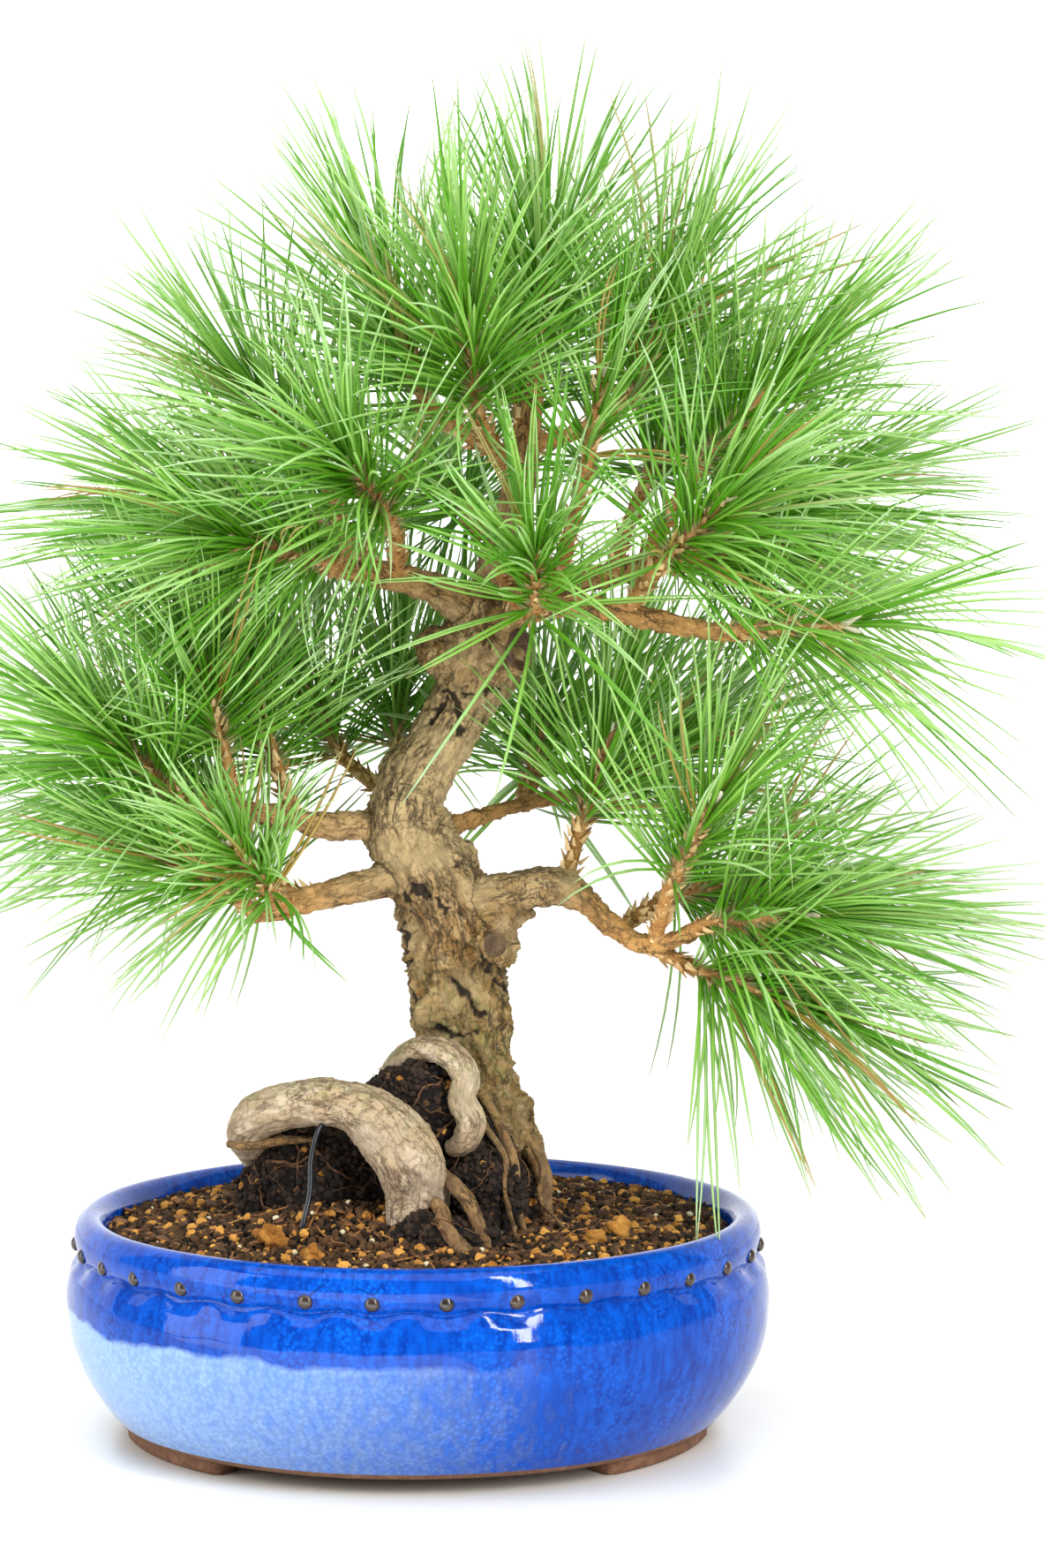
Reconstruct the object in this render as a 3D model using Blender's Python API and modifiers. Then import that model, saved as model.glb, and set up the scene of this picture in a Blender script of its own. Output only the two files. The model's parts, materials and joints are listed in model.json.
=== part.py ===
"""Black pine bonsai in a round glazed pot: pot, soil, roots, trunk, limbs and needled shoots.

Metres, +Z up. The origin is on the surface that the pot's feet stand on, under the middle of the
whole tree's outline. Everything is laid out from the pot's own axis, an empty that stands a little
to the side of it. The front of the tree faces -Y. A grown joint, a seat in the soil and a resting
face all keep GAP.
"""

import math
import random

import bmesh
import bpy
import numpy as np
from mathutils import Matrix, Vector

MM = 0.001
GAP = 0.3 * MM  # kept between any two pieces that touch
POT_PLACE = (-19 * MM, -4 * MM)  # of the pot's axis, from the middle of the tree's outline

# Pot, a thrown and glazed stoneware bowl with a rolled collar
POT_RADIUS = 125 * MM  # at the belly
POT_HEIGHT = 78 * MM  # floor to the top of the collar
POT_BASE_RADIUS = 106 * MM  # where the belly meets the underside
POT_WALL = 8 * MM
POT_FLOOR = 8 * MM
BELLY_DROP = 13 * MM  # of the widest circle, below the neck
BELLY_CURVE = 2.2  # how late the belly turns in towards the base: 2 is a parabola
BELLY_LEVELS = (0.97, 0.86, 0.72, 0.5, 0.3, 0.14, 0.0)  # of its rings, as shares from base to neck
COLLAR_HEIGHT = 16 * MM  # of the rolled band round the top
NECK_Z = POT_HEIGHT - COLLAR_HEIGHT  # where the collar begins
BELLY_HEIGHT = NECK_Z - BELLY_DROP
COLLAR_REACH = 12 * MM  # across the roll
COLLAR_INSET = 3 * MM  # from the belly to the outermost point of the roll
COLLAR_ARC = (205, -55)  # degrees, from the roll's inner underside over the top to its outer underside
COLLAR_STEPS = 8
GROOVE_DEPTH = 1.2 * MM  # between collar and belly
POT_SEGMENTS = 48

# Feet, studs and drain holes of the pot
FOOT_COUNT = 3
FOOT_HEIGHT = 5 * MM
FOOT_WIDTH = 13 * MM  # radially
FOOT_INSET = 2 * MM  # from the base's edge
FOOT_ARC = math.radians(36)
FOOT_SINK = 1.5 * MM  # into the underside, where the clay is joined
STUD_COUNT = 32
STUD_RADIUS = 2.6 * MM
STUD_HALF_DEPTH = 2.56 * MM  # from a stud's middle out, along the pot's radius
STUD_SEAT = 0.94  # of the roll's half-width, where the studs' middles are
STUD_DROP = 2.5 * MM  # of the studs below the roll's middle
DRAIN_COUNT = 2
DRAIN_RADIUS = 9 * MM
DRAIN_OFFSET = 48 * MM  # from the pot's centre

# Drain nets, tie wire and soil
NET_SIDE = 32 * MM
NET_THICK = 1.2 * MM
NET_CELLS = 7  # strands and holes along a side, so an odd number
WIRE_RADIUS = 0.9 * MM
WIRE_LIFT = 1.5 * MM  # of the wire's end above the drain net
WIRE_STEPS = 3
SOIL_RECESS = 7 * MM  # of the soil's edge below the top of the pot
SOIL_DOME = 5 * MM  # rise of the soil from its edge to the middle
SOIL_CIRCLES = (0.0, 0.3, 0.55, 0.8, 1.0)  # of its surface, as shares of its edge's radius
GRAIN_RADIUS = 4.2 * MM
GRAIN_LEAST = 0.82  # how near its middle a grain's surface comes, as a share of its radius

# Needles
NEEDLE_LENGTH = 92 * MM
NEEDLE_SPREAD = (math.radians(74), math.radians(16))  # from the shoot's own line, at its foot and tip
TUFT_LENGTH = 34 * MM  # of the needled end of a shoot
TUFT_RINGS = 5
TWIG_RADIUS = 2.3 * MM
END_FACING = 0.7  # a face turned further along the shoot than this closes its end
TWIG_SAG = 0.12  # of a twig's middle, against its length
LIMB_OVER_TWIG = 1.1  # the least radius of a limb, against the twigs that grow from it
TUFT_TAPER = (1.1, 0.75)  # of the twig's radius, at the tuft's foot and tip
NEEDLE_LEAST = 0.86  # length of the shortest needle, as a share of the longest
NEEDLE_SWAY = 0.05  # radians that a needle may lean off its line
NEEDLE_SWAY_STEP = 0.035  # more for each further try
NEEDLE_SHRINK = 0.02  # share taken off its length for each further try
NEEDLE_CLEARANCE = 0.5 * MM
TRIES = 14  # directions tried for a needle before it is left out

# Colours are linear, roughness and metallic as the finish has them
FINISHES = {
    "blue_glaze": ((0.008, 0.07, 0.52), 0.12, 0.0),
    "soil_mix": ((0.055, 0.03, 0.016), 0.95, 0.0),
    "peat": ((0.02, 0.013, 0.008), 0.95, 0.0),
    "clay_grain": ((0.33, 0.15, 0.035), 0.9, 0.0),
    "bark": ((0.36, 0.26, 0.16), 0.85, 0.0),
    "twig_bark": ((0.42, 0.22, 0.09), 0.85, 0.0),
    "needle": ((0.07, 0.24, 0.035), 0.45, 0.0),
    "net_plastic": ((0.02, 0.02, 0.02), 0.5, 0.0),
    "wire_coat": ((0.02, 0.035, 0.06), 0.4, 0.0),
}


# ---------------------------------------------------------------- scene and materials


def clear_scene():
    for obj in list(bpy.data.objects):
        bpy.data.objects.remove(obj)


def collection(name):
    made = bpy.data.collections.new(name)
    bpy.context.scene.collection.children.link(made)
    return made


def finish(name):
    made = bpy.data.materials.get(name)
    if made is None:
        colour, roughness, metallic = FINISHES[name]
        made = bpy.data.materials.new(name)
        made.use_nodes = True
        surface = made.node_tree.nodes["Principled BSDF"]
        surface.inputs["Base Color"].default_value = (*colour, 1)
        surface.inputs["Roughness"].default_value = roughness
        surface.inputs["Metallic"].default_value = metallic
    return made


clear_scene()
PARTS = collection("black_pine_bonsai")
TOOLS = collection("cutters")


POT_AXIS = bpy.data.objects.new("pot_axis", None)
POT_AXIS.location = (*POT_PLACE, 0)
PARTS.objects.link(POT_AXIS)


def part(name, mesh, material):
    """A finished sub-part, in the object's own collection, laid out from the pot's axis."""
    obj = bpy.data.objects.new(name, mesh)
    PARTS.objects.link(obj)
    obj.parent = POT_AXIS
    mesh.materials.clear()
    mesh.materials.append(finish(material))
    mesh.shade_smooth()
    mesh.set_sharp_from_angle(angle=math.radians(35))
    return obj


def tool(name, mesh):
    """A cutter: never rendered, drawn as wire."""
    obj = bpy.data.objects.new(name, mesh)
    TOOLS.objects.link(obj)
    obj.hide_render = True
    obj.display_type = "WIRE"
    return obj


def mesh_of(bm, name):
    bmesh.ops.recalc_face_normals(bm, faces=bm.faces)
    mesh = bpy.data.meshes.new(name)
    bm.to_mesh(mesh)
    bm.free()
    return mesh


def boolean(mesh, operation, others):
    """The mesh after joining it with, or cutting it by, each of the other meshes."""
    body = tool("boolean_body", mesh)
    for index, other in enumerate(others):
        modifier = body.modifiers.new(f"{operation}_{index}", "BOOLEAN")
        modifier.operation = operation
        modifier.solver = "EXACT"
        modifier.object = tool(f"boolean_tool_{index}", other)
    graph = bpy.context.evaluated_depsgraph_get()
    made = bpy.data.meshes.new_from_object(body.evaluated_get(graph))
    for modifier in list(body.modifiers):
        helper = modifier.object
        body.modifiers.remove(modifier)
        bpy.data.objects.remove(helper)
    bpy.data.objects.remove(body)
    return made


# ---------------------------------------------------------------- curves and turned shapes


def turned(profile, segments, name):
    """A solid of revolution about Z. The profile runs down its outer side, both ends on the axis."""
    bm = bmesh.new()
    verts = [bm.verts.new((r, 0, z)) for r, z in profile]
    for a, b in zip(verts, verts[1:]):
        bm.edges.new((a, b))
    outline = bpy.data.meshes.new(name)
    bm.to_mesh(outline)
    bm.free()
    body = tool(name, outline)
    screw = body.modifiers.new("Screw", "SCREW")
    screw.steps = screw.render_steps = segments
    screw.use_merge_vertices = True
    screw.merge_threshold = 0.00001
    graph = bpy.context.evaluated_depsgraph_get()
    made = bpy.data.meshes.new_from_object(body.evaluated_get(graph))
    bpy.data.objects.remove(body)
    return made


def curve_mesh(curve, name):
    """The curve's evaluated mesh, with its loose caps welded on."""
    body = bpy.data.objects.new(name, curve)
    TOOLS.objects.link(body)
    graph = bpy.context.evaluated_depsgraph_get()
    made = bpy.data.meshes.new_from_object(body.evaluated_get(graph))
    bpy.data.objects.remove(body)
    bm = bmesh.new()
    bm.from_mesh(made)
    bmesh.ops.remove_doubles(bm, verts=bm.verts, dist=1e-6)
    bm.to_mesh(made)
    bm.free()
    return made


def smooth_path(points, steps):
    """(place, radius) along a Catmull-Rom curve through the given (x, y, z, radius), all in mm."""
    rows = [np.array(p, float) * MM for p in points]
    rows = [2 * rows[0] - rows[1], *rows, 2 * rows[-1] - rows[-2]]
    found = []
    for a, b, c, d in zip(rows, rows[1:], rows[2:], rows[3:]):
        for k in range(steps):
            t = k / steps
            found.append(
                0.5 * (2 * b + (c - a) * t + (2 * a - 5 * b + 4 * c - d) * t**2
                       + (3 * b - a - 3 * c + d) * t**3)
            )
    found.append(rows[-2])
    return [(Vector(row[:3]), float(row[3])) for row in found]


def tube(path, name, bevel_resolution=2, grow=0.0):
    """A tapering round tube along (place, radius); grow thickens it and makes it longer by as much."""
    places = [place.copy() for place, _ in path]
    places[0] += (places[0] - places[1]).normalized() * grow
    places[-1] += (places[-1] - places[-2]).normalized() * grow
    curve = bpy.data.curves.new(name, "CURVE")
    curve.dimensions = "3D"
    curve.bevel_depth = 1.0
    curve.bevel_resolution = bevel_resolution
    curve.use_fill_caps = True
    spline = curve.splines.new("POLY")
    spline.points.add(len(path) - 1)
    for point, place, (_, radius) in zip(spline.points, places, path):
        point.co = (*place, 1)
        point.radius = radius + grow
    return curve_mesh(curve, name)


def prism(outline, bottom, top, name):
    """A flat outline between two heights."""
    curve = bpy.data.curves.new(name, "CURVE")
    curve.dimensions = "2D"
    curve.fill_mode = "BOTH"
    curve.extrude = (top - bottom) / 2
    spline = curve.splines.new("POLY")
    spline.use_cyclic_u = True
    spline.points.add(len(outline) - 1)
    for point, (x, y) in zip(spline.points, outline):
        point.co = (x, y, 0, 1)
    made = curve_mesh(curve, name)
    made.transform(Matrix.Translation((0, 0, (top + bottom) / 2)))
    return made


def arc(centre, radii, start, end, steps):
    """Points of an elliptical arc, angles in degrees."""
    turn = (math.radians(start + (end - start) * k / steps) for k in range(steps + 1))
    return [(centre[0] + radii[0] * math.cos(a), centre[1] + radii[1] * math.sin(a)) for a in turn]


# ---------------------------------------------------------------- pot


def belly_radius(z):
    """Outer radius of the pot's belly at a height."""
    if z < BELLY_HEIGHT:
        share = (BELLY_HEIGHT - z) / (BELLY_HEIGHT - FOOT_HEIGHT)
        return POT_RADIUS - (POT_RADIUS - POT_BASE_RADIUS) * share**BELLY_CURVE
    share = (z - BELLY_HEIGHT) / BELLY_DROP
    return POT_RADIUS - COLLAR_INSET * share**2


def wall_radius(z):
    """Inner radius of the pot's wall at a height."""
    return belly_radius(z) - POT_WALL


COLLAR_CENTRE = (POT_RADIUS - COLLAR_INSET - COLLAR_REACH / 2, POT_HEIGHT - COLLAR_HEIGHT / 2)
FLOOR_Z = FOOT_HEIGHT + POT_FLOOR
FLOOR_ROUND = 9 * MM  # radius of the curve from floor to wall
SOIL_EDGE_Z = POT_HEIGHT - SOIL_RECESS


def inner_outline(offset):
    """The pot's inside from the axis out and up to the neck, moved inwards by offset."""
    wall_foot = wall_radius(FLOOR_Z + FLOOR_ROUND) - offset
    bend = arc(
        (wall_foot - FLOOR_ROUND, FLOOR_Z + offset + FLOOR_ROUND), (FLOOR_ROUND, FLOOR_ROUND), -90, 0, 3
    )
    rise = [FLOOR_Z + FLOOR_ROUND + (NECK_Z - FLOOR_Z - FLOOR_ROUND) * k / 3 for k in (1, 2, 3)]
    return [(0, FLOOR_Z + offset), *bend, *[(wall_radius(z) - offset, z) for z in rise]]


def collar_outline(offset):
    """The rolled collar from its inner underside over the top and down outside, grown by offset."""
    radii = (COLLAR_REACH / 2 + offset, COLLAR_HEIGHT / 2 + offset)
    return arc(COLLAR_CENTRE, radii, *COLLAR_ARC, COLLAR_STEPS)


def pot_profile():
    """Down the outer side: inside floor, inner wall, over the rolled collar, belly and underside."""
    groove = [(belly_radius(NECK_Z) - GROOVE_DEPTH, NECK_Z)]
    belly = [FOOT_HEIGHT + (NECK_Z - FOOT_HEIGHT) * share for share in BELLY_LEVELS]
    return [
        *inner_outline(0),
        *collar_outline(0),
        *groove,
        *[(belly_radius(z), z) for z in belly],
        (POT_BASE_RADIUS - FOOT_INSET, FOOT_HEIGHT),
        (0, FOOT_HEIGHT),
    ]


def foot_angle(index):
    """The feet are evenly spaced, with one at the back."""
    return math.radians(90) + 2 * math.pi * index / FOOT_COUNT


def foot_mesh(index):
    middle = foot_angle(index)
    outer = POT_BASE_RADIUS - FOOT_INSET
    turn = [middle + FOOT_ARC * (k / 6 - 0.5) for k in range(7)]
    ring = [(outer * math.cos(a), outer * math.sin(a)) for a in turn]
    inner = outer - FOOT_WIDTH
    ring += [(inner * math.cos(a), inner * math.sin(a)) for a in reversed(turn)]
    return prism(ring, 0, FOOT_HEIGHT + FOOT_SINK, "foot")


def studs_mesh():
    """The row of clay buttons pressed round the collar."""
    bm = bmesh.new()
    reach = COLLAR_CENTRE[0] + COLLAR_REACH / 2 * STUD_SEAT
    for index in range(STUD_COUNT):
        angle = 2 * math.pi * (index + 0.5) / STUD_COUNT
        place = Vector((reach * math.cos(angle), reach * math.sin(angle), COLLAR_CENTRE[1] - STUD_DROP))
        turn = Matrix.Rotation(angle, 4, "Z") @ Matrix.Rotation(math.radians(90), 4, "Y")
        scale = Matrix.Diagonal((STUD_RADIUS, STUD_RADIUS, STUD_HALF_DEPTH, 1))
        bmesh.ops.create_uvsphere(
            bm, u_segments=8, v_segments=4, radius=1, matrix=Matrix.Translation(place) @ turn @ scale
        )
    return mesh_of(bm, "studs")


def drain_place(index):
    angle = math.pi * 2 * index / DRAIN_COUNT
    return DRAIN_OFFSET * math.cos(angle), DRAIN_OFFSET * math.sin(angle)


def drain_mesh(index):
    bm = bmesh.new()
    x, y = drain_place(index)
    bmesh.ops.create_cone(
        bm, cap_ends=True, segments=16, radius1=DRAIN_RADIUS, radius2=DRAIN_RADIUS,
        depth=4 * POT_FLOOR, matrix=Matrix.Translation((x, y, FLOOR_Z)),
    )
    return mesh_of(bm, "drain")


def make_pot():
    body = turned(pot_profile(), POT_SEGMENTS, "pot_profile")
    body = boolean(body, "UNION", [foot_mesh(k) for k in range(FOOT_COUNT)])
    body = boolean(body, "UNION", [studs_mesh()])
    body = boolean(body, "DIFFERENCE", [drain_mesh(k) for k in range(DRAIN_COUNT)])
    return part("pot", body, "blue_glaze")


def make_drain_net(index):
    """A square of plastic net over a drain hole: a grid with every second cell open, then thickened."""
    x, y = drain_place(index)
    bm = bmesh.new()
    bmesh.ops.create_grid(
        bm, x_segments=NET_CELLS, y_segments=NET_CELLS, size=NET_SIDE / 2,
        matrix=Matrix.Translation((x, y, FLOOR_Z + GAP)),
    )
    cell = NET_SIDE / NET_CELLS
    holes = []
    for face in bm.faces:
        middle = face.calc_center_median()
        column = round((middle.x - x + NET_SIDE / 2) / cell - 0.5)
        row = round((middle.y - y + NET_SIDE / 2) / cell - 0.5)
        if column % 2 and row % 2:
            holes.append(face)
    bmesh.ops.delete(bm, geom=holes, context="FACES")
    net = part(f"drain_net_{'right' if x > 0 else 'left'}", mesh_of(bm, "net"), "net_plastic")
    solidify = net.modifiers.new("Solidify", "SOLIDIFY")
    solidify.thickness = NET_THICK
    solidify.offset = 1
    return net


# ---------------------------------------------------------------- wood: trunk, roots and limbs

# Each is a route of (x, y, z, radius) in mm, from its thick end, chosen by eye for the tree's line.
TRUNK = [
    (23, 5, 58, 21), (22, 5, 88, 22), (19.5, 5, 108, 19.6), (17, 3, 128, 17.4), (15, 2, 146, 17.2),
    (13.5, 0, 164, 17.2), (11, -2, 181, 17.6), (5, -3, 196, 17), (-2, -4, 209, 15.8),
    (-4, -4, 219, 14.3), (-1, -2, 231, 12.6), (8, 0, 245, 11.6), (15, 2, 257, 11.4),
    (19, 3, 266, 14.2), (22, 4, 276, 15.8), (23, 5, 286, 13), (24, 6, 295, 9.5),
]
STUB = ((19, -8, 172), (27, -20, 173), 5.2)  # a sawn limb, from inside the trunk to its face
SCAR = ((24, 3, 276), (36, -8, 280), 8.4)  # the larger cut on the upper knuckle

ROOTS = {
    "root_left": [
        (-49, 9, 60, 6), (-56, 0, 82, 6.5), (-61, -14, 101, 7.2), (-60, -28, 113, 7.6),
        (-49, -36, 119, 8), (-35, -41, 122, 8.3), (-21, -44, 121, 9), (-10, -46, 114, 11),
        (-2, -48, 104, 12.4), (1, -49, 92, 11), (-1, -50, 79, 9), (-4, -50, 62, 9),
    ],
    "root_arch": [
        (-12, -7, 106, 5), (-10, -11, 122, 5.4), (-5, -18, 134.5, 5.5), (4, -27, 140.5, 5.6),
        (13, -34, 139, 5.8), (18, -39, 131, 6), (16.5, -41, 123, 6.2), (20, -43, 114, 6.6),
        (16, -41, 106, 6), (9, -36, 101, 5),
    ],
    "root_prop_right": [
        (33, 1, 118, 5), (42, -7, 106, 5), (45, -13, 92, 4.4), (45, -16, 79, 4), (47, -18, 62, 3.6),
    ],
    "root_prop_front": [
        (23, -20, 122, 3), (31, -29, 112, 3), (36, -33, 99, 2.8), (38, -36, 86, 2.6), (44, -40, 64, 2.4),
    ],
    "root_front": [
        (8, -46, 92, 3), (15, -55, 92, 4), (17.5, -58, 84, 4.2), (22, -62, 75.5, 4.2), (27, -62, 62, 3.4),
    ],
}

LIMBS = {
    "limb_right_low": [
        (10, -2, 184, 9), (24, -9, 189, 8.4), (38, -15, 193, 7.6), (50, -20, 194.5, 7.4),
        (60, -26, 189, 5.6), (70, -32, 180, 4.6), (83, -38, 176, 4.2), (95, -42, 181, 3.8),
    ],
    "limb_left_low": [
        (4, -3, 197, 6.4), (-13, -10, 195, 6), (-24, -16, 193, 5.4), (-35, -22, 191, 4.6),
        (-46, -26, 188, 4.2), (-56, -28, 186, 3.6),
    ],
    "limb_left_mid": [
        (-4, -4, 217, 5.6), (-20, -7, 215, 5.4), (-32, -10, 215, 5), (-46, -16, 218.5, 4.4),
        (-62, -23, 221, 4), (-76, -29, 223, 3.4),
    ],
    "limb_back_left": [
        (-3, -3, 216, 4.6), (-8, 14, 219, 4.4), (-12, 30, 225, 3.8), (-10, 44, 233, 3.2),
    ],
    "limb_back_right": [
        (2, -2, 211, 4), (18, 12, 215, 3.6), (34, 22, 219, 3), (50, 26, 222, 2.8), (66, 27, 224, 2.6),
    ],
    "limb_right_top": [
        (23, 4, 282, 6), (36, -14, 290, 5.6), (50, -30, 293.5, 5), (68, -41, 291.5, 4.4),
        (88, -47, 287, 4), (106, -51, 284, 3.6),
    ],
    "leader": [
        (24, 6, 286, 9), (27, 6, 302, 8), (33, 4, 322, 6.6), (38, 3, 344, 5.2), (41, 2, 366, 3.8),
    ],
    "limb_crown_left": [
        (22, 4, 284, 6.6), (8, -4, 297, 6), (-8, -8, 302, 5), (-24, -10, 305, 4.2), (-38, -11, 309, 3.4),
    ],
    "limb_crown_right": [
        (24, 7, 286, 6.4), (44, 16, 297, 5.8), (62, 19, 301, 5), (80, 18, 305, 4.2), (96, 14, 310, 3.4),
    ],
}
# What a limb or root is seated on, besides the trunk
ALSO_SEATED_ON = {
    "root_arch": ("root_left",),
    "root_front": ("root_left",),
    "limb_crown_left": ("leader",),
    "limb_crown_right": ("leader",),
    "limb_right_top": ("leader",),
}
WOOD_STEPS = 1  # curve steps between two route points of the trunk and roots
SEAT_GAP = GAP * 1.15  # a tube's flats lie inside its radius, so a seat is cut wider than the gap


def cylinder_between(start, end, radius, name):
    return tube([(Vector(start) * MM, radius * MM), (Vector(end) * MM, radius * MM)], name, 4)


WOOD_PATHS = {"trunk": smooth_path(TRUNK, WOOD_STEPS)}
WOOD_PATHS |= {name: smooth_path(route, WOOD_STEPS) for name, route in ROOTS.items()}
for name, route in LIMBS.items():
    path = smooth_path(route, WOOD_STEPS)
    WOOD_PATHS[name] = [(place, max(radius, TWIG_RADIUS * LIMB_OVER_TWIG)) for place, radius in path]


def grown(name):
    """A copy of a wooden piece, larger by the gap, to seat other pieces on it."""
    return tube(WOOD_PATHS[name], f"{name}_grown", 3 if name == "trunk" else 2, SEAT_GAP)


def trunk_cutters():
    """The trunk and its two cut stubs, grown by the gap."""
    stubs = []
    for start, end, radius in (STUB, SCAR):
        path = [(Vector(start) * MM, radius * MM), (Vector(end) * MM, radius * MM)]
        stubs.append(tube(path, "stub_grown", 4, SEAT_GAP))
    return [grown("trunk"), *stubs]


def make_trunk():
    body = tube(WOOD_PATHS["trunk"], "trunk", 3)
    stubs = [cylinder_between(*STUB, "stub"), cylinder_between(*SCAR, "scar")]
    return part("trunk", boolean(body, "UNION", stubs), "bark")


def make_wood(name):
    """A root or limb, cut back to the pieces that it grows out of."""
    body = tube(WOOD_PATHS[name], name)
    seats = [*trunk_cutters(), *[grown(other) for other in ALSO_SEATED_ON.get(name, ())]]
    return part(name, boolean(body, "DIFFERENCE", seats), "bark")


# ---------------------------------------------------------------- soil


SOIL_EDGE_RADIUS = COLLAR_CENTRE[0] - COLLAR_REACH / 2 - 2 * GAP


def soil_height(radius):
    return SOIL_EDGE_Z + SOIL_DOME * (1 - (radius / SOIL_EDGE_RADIUS) ** 2)


BALL_LOBES = [  # the old root mass under the trunk: centre and half-axes in mm
    ((8, -8, 84), (30, 30, 42)),
    ((-31, -18, 82), (35, 24, 33)),
    ((30, -8, 74), (22, 26, 30)),
    ((4, -20, 108), (15, 13, 24)),
]


def ball_mesh(grow):
    """The lobes of the root mass, joined."""
    meshes = []
    for centre, axes in BALL_LOBES:
        bm = bmesh.new()
        size = [axis * MM + grow for axis in axes]
        place = Matrix.Translation(Vector(centre) * MM) @ Matrix.Diagonal((*size, 1))
        bmesh.ops.create_icosphere(bm, subdivisions=2, radius=1, matrix=place)
        meshes.append(mesh_of(bm, "lobe"))
    return boolean(meshes[0], "UNION", meshes[1:])


def make_root_ball():
    seats = [*trunk_cutters(), *[grown(name) for name in ROOTS]]
    return part("root_ball", boolean(ball_mesh(0), "DIFFERENCE", seats), "peat")


WIRE_ROUTE = [  # from under the looped root down to a drain hole, in mm
    (-33, -47, 113), (-35, -50, 104), (-36, -53, 92), (-39, -57, 78), (-42, -45, 60), (-46, -22, 34),
]


def wire_path():
    foot = (-DRAIN_OFFSET / MM, 0, (FLOOR_Z + NET_THICK + WIRE_LIFT) / MM)
    return smooth_path([(*point, WIRE_RADIUS / MM) for point in (*WIRE_ROUTE, foot)], WIRE_STEPS)


def make_tie_wire():
    seats = [grown("root_left")]
    body = tube(wire_path(), "tie_wire", 1)
    return part("tie_wire", boolean(body, "DIFFERENCE", seats), "wire_coat")


def net_space(index):
    """Room in the soil for a drain net."""
    x, y = drain_place(index)
    half = NET_SIDE / 2 + GAP
    corners = [(x - half, y - half), (x + half, y - half), (x + half, y + half), (x - half, y + half)]
    return prism(corners, FLOOR_Z - POT_FLOOR, FLOOR_Z + NET_THICK + 2 * GAP, "net_space")


def make_potting_mix():
    """The fresh mix that fills the pot round the root mass."""
    wall = (*inner_outline(GAP), collar_outline(2 * GAP)[0])
    inside = [(r, z) for r, z in wall if z < SOIL_EDGE_Z - GAP]
    circles = [SOIL_EDGE_RADIUS * share for share in SOIL_CIRCLES]
    surface = [(radius, soil_height(radius)) for radius in circles]
    body = turned([*surface, *reversed(inside)], POT_SEGMENTS // 2, "mix_profile")
    ball = ball_mesh(GAP)
    seats = [ball, *trunk_cutters(), *[grown(name) for name in ROOTS]]
    seats.append(tube(wire_path(), "wire_grown", 1, GAP))
    seats += [net_space(k) for k in range(DRAIN_COUNT)]
    return part("potting_mix", boolean(body, "DIFFERENCE", seats), "soil_mix")


GRAINS = {  # larger fired-clay grains lying on the mix: x and y in mm, share of the usual size
    "clay_grain_1": (-48, -64, 1.25),
    "clay_grain_2": (-34, -76, 0.9),
    "clay_grain_3": (62, -52, 1.0),
    "clay_grain_4": (70, -38, 1.1),
}


def make_grain(name, seed):
    """A knobbly grain: a jittered icosphere resting on the soil."""
    x, y, share = GRAINS[name]
    rng = random.Random(seed)
    bm = bmesh.new()
    radius = GRAIN_RADIUS * share
    bmesh.ops.create_icosphere(bm, subdivisions=1, radius=radius)
    for vert in bm.verts:
        vert.co *= rng.uniform(GRAIN_LEAST, 1.0)
    lowest = min(vert.co.z for vert in bm.verts)
    spot = Vector((x * MM, y * MM, 0))
    spot.z = soil_height(spot.xy.length) - lowest + 2 * GAP
    bmesh.ops.translate(bm, verts=bm.verts, vec=spot)
    return part(name, mesh_of(bm, name), "clay_grain")


# ---------------------------------------------------------------- needled shoots

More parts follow.
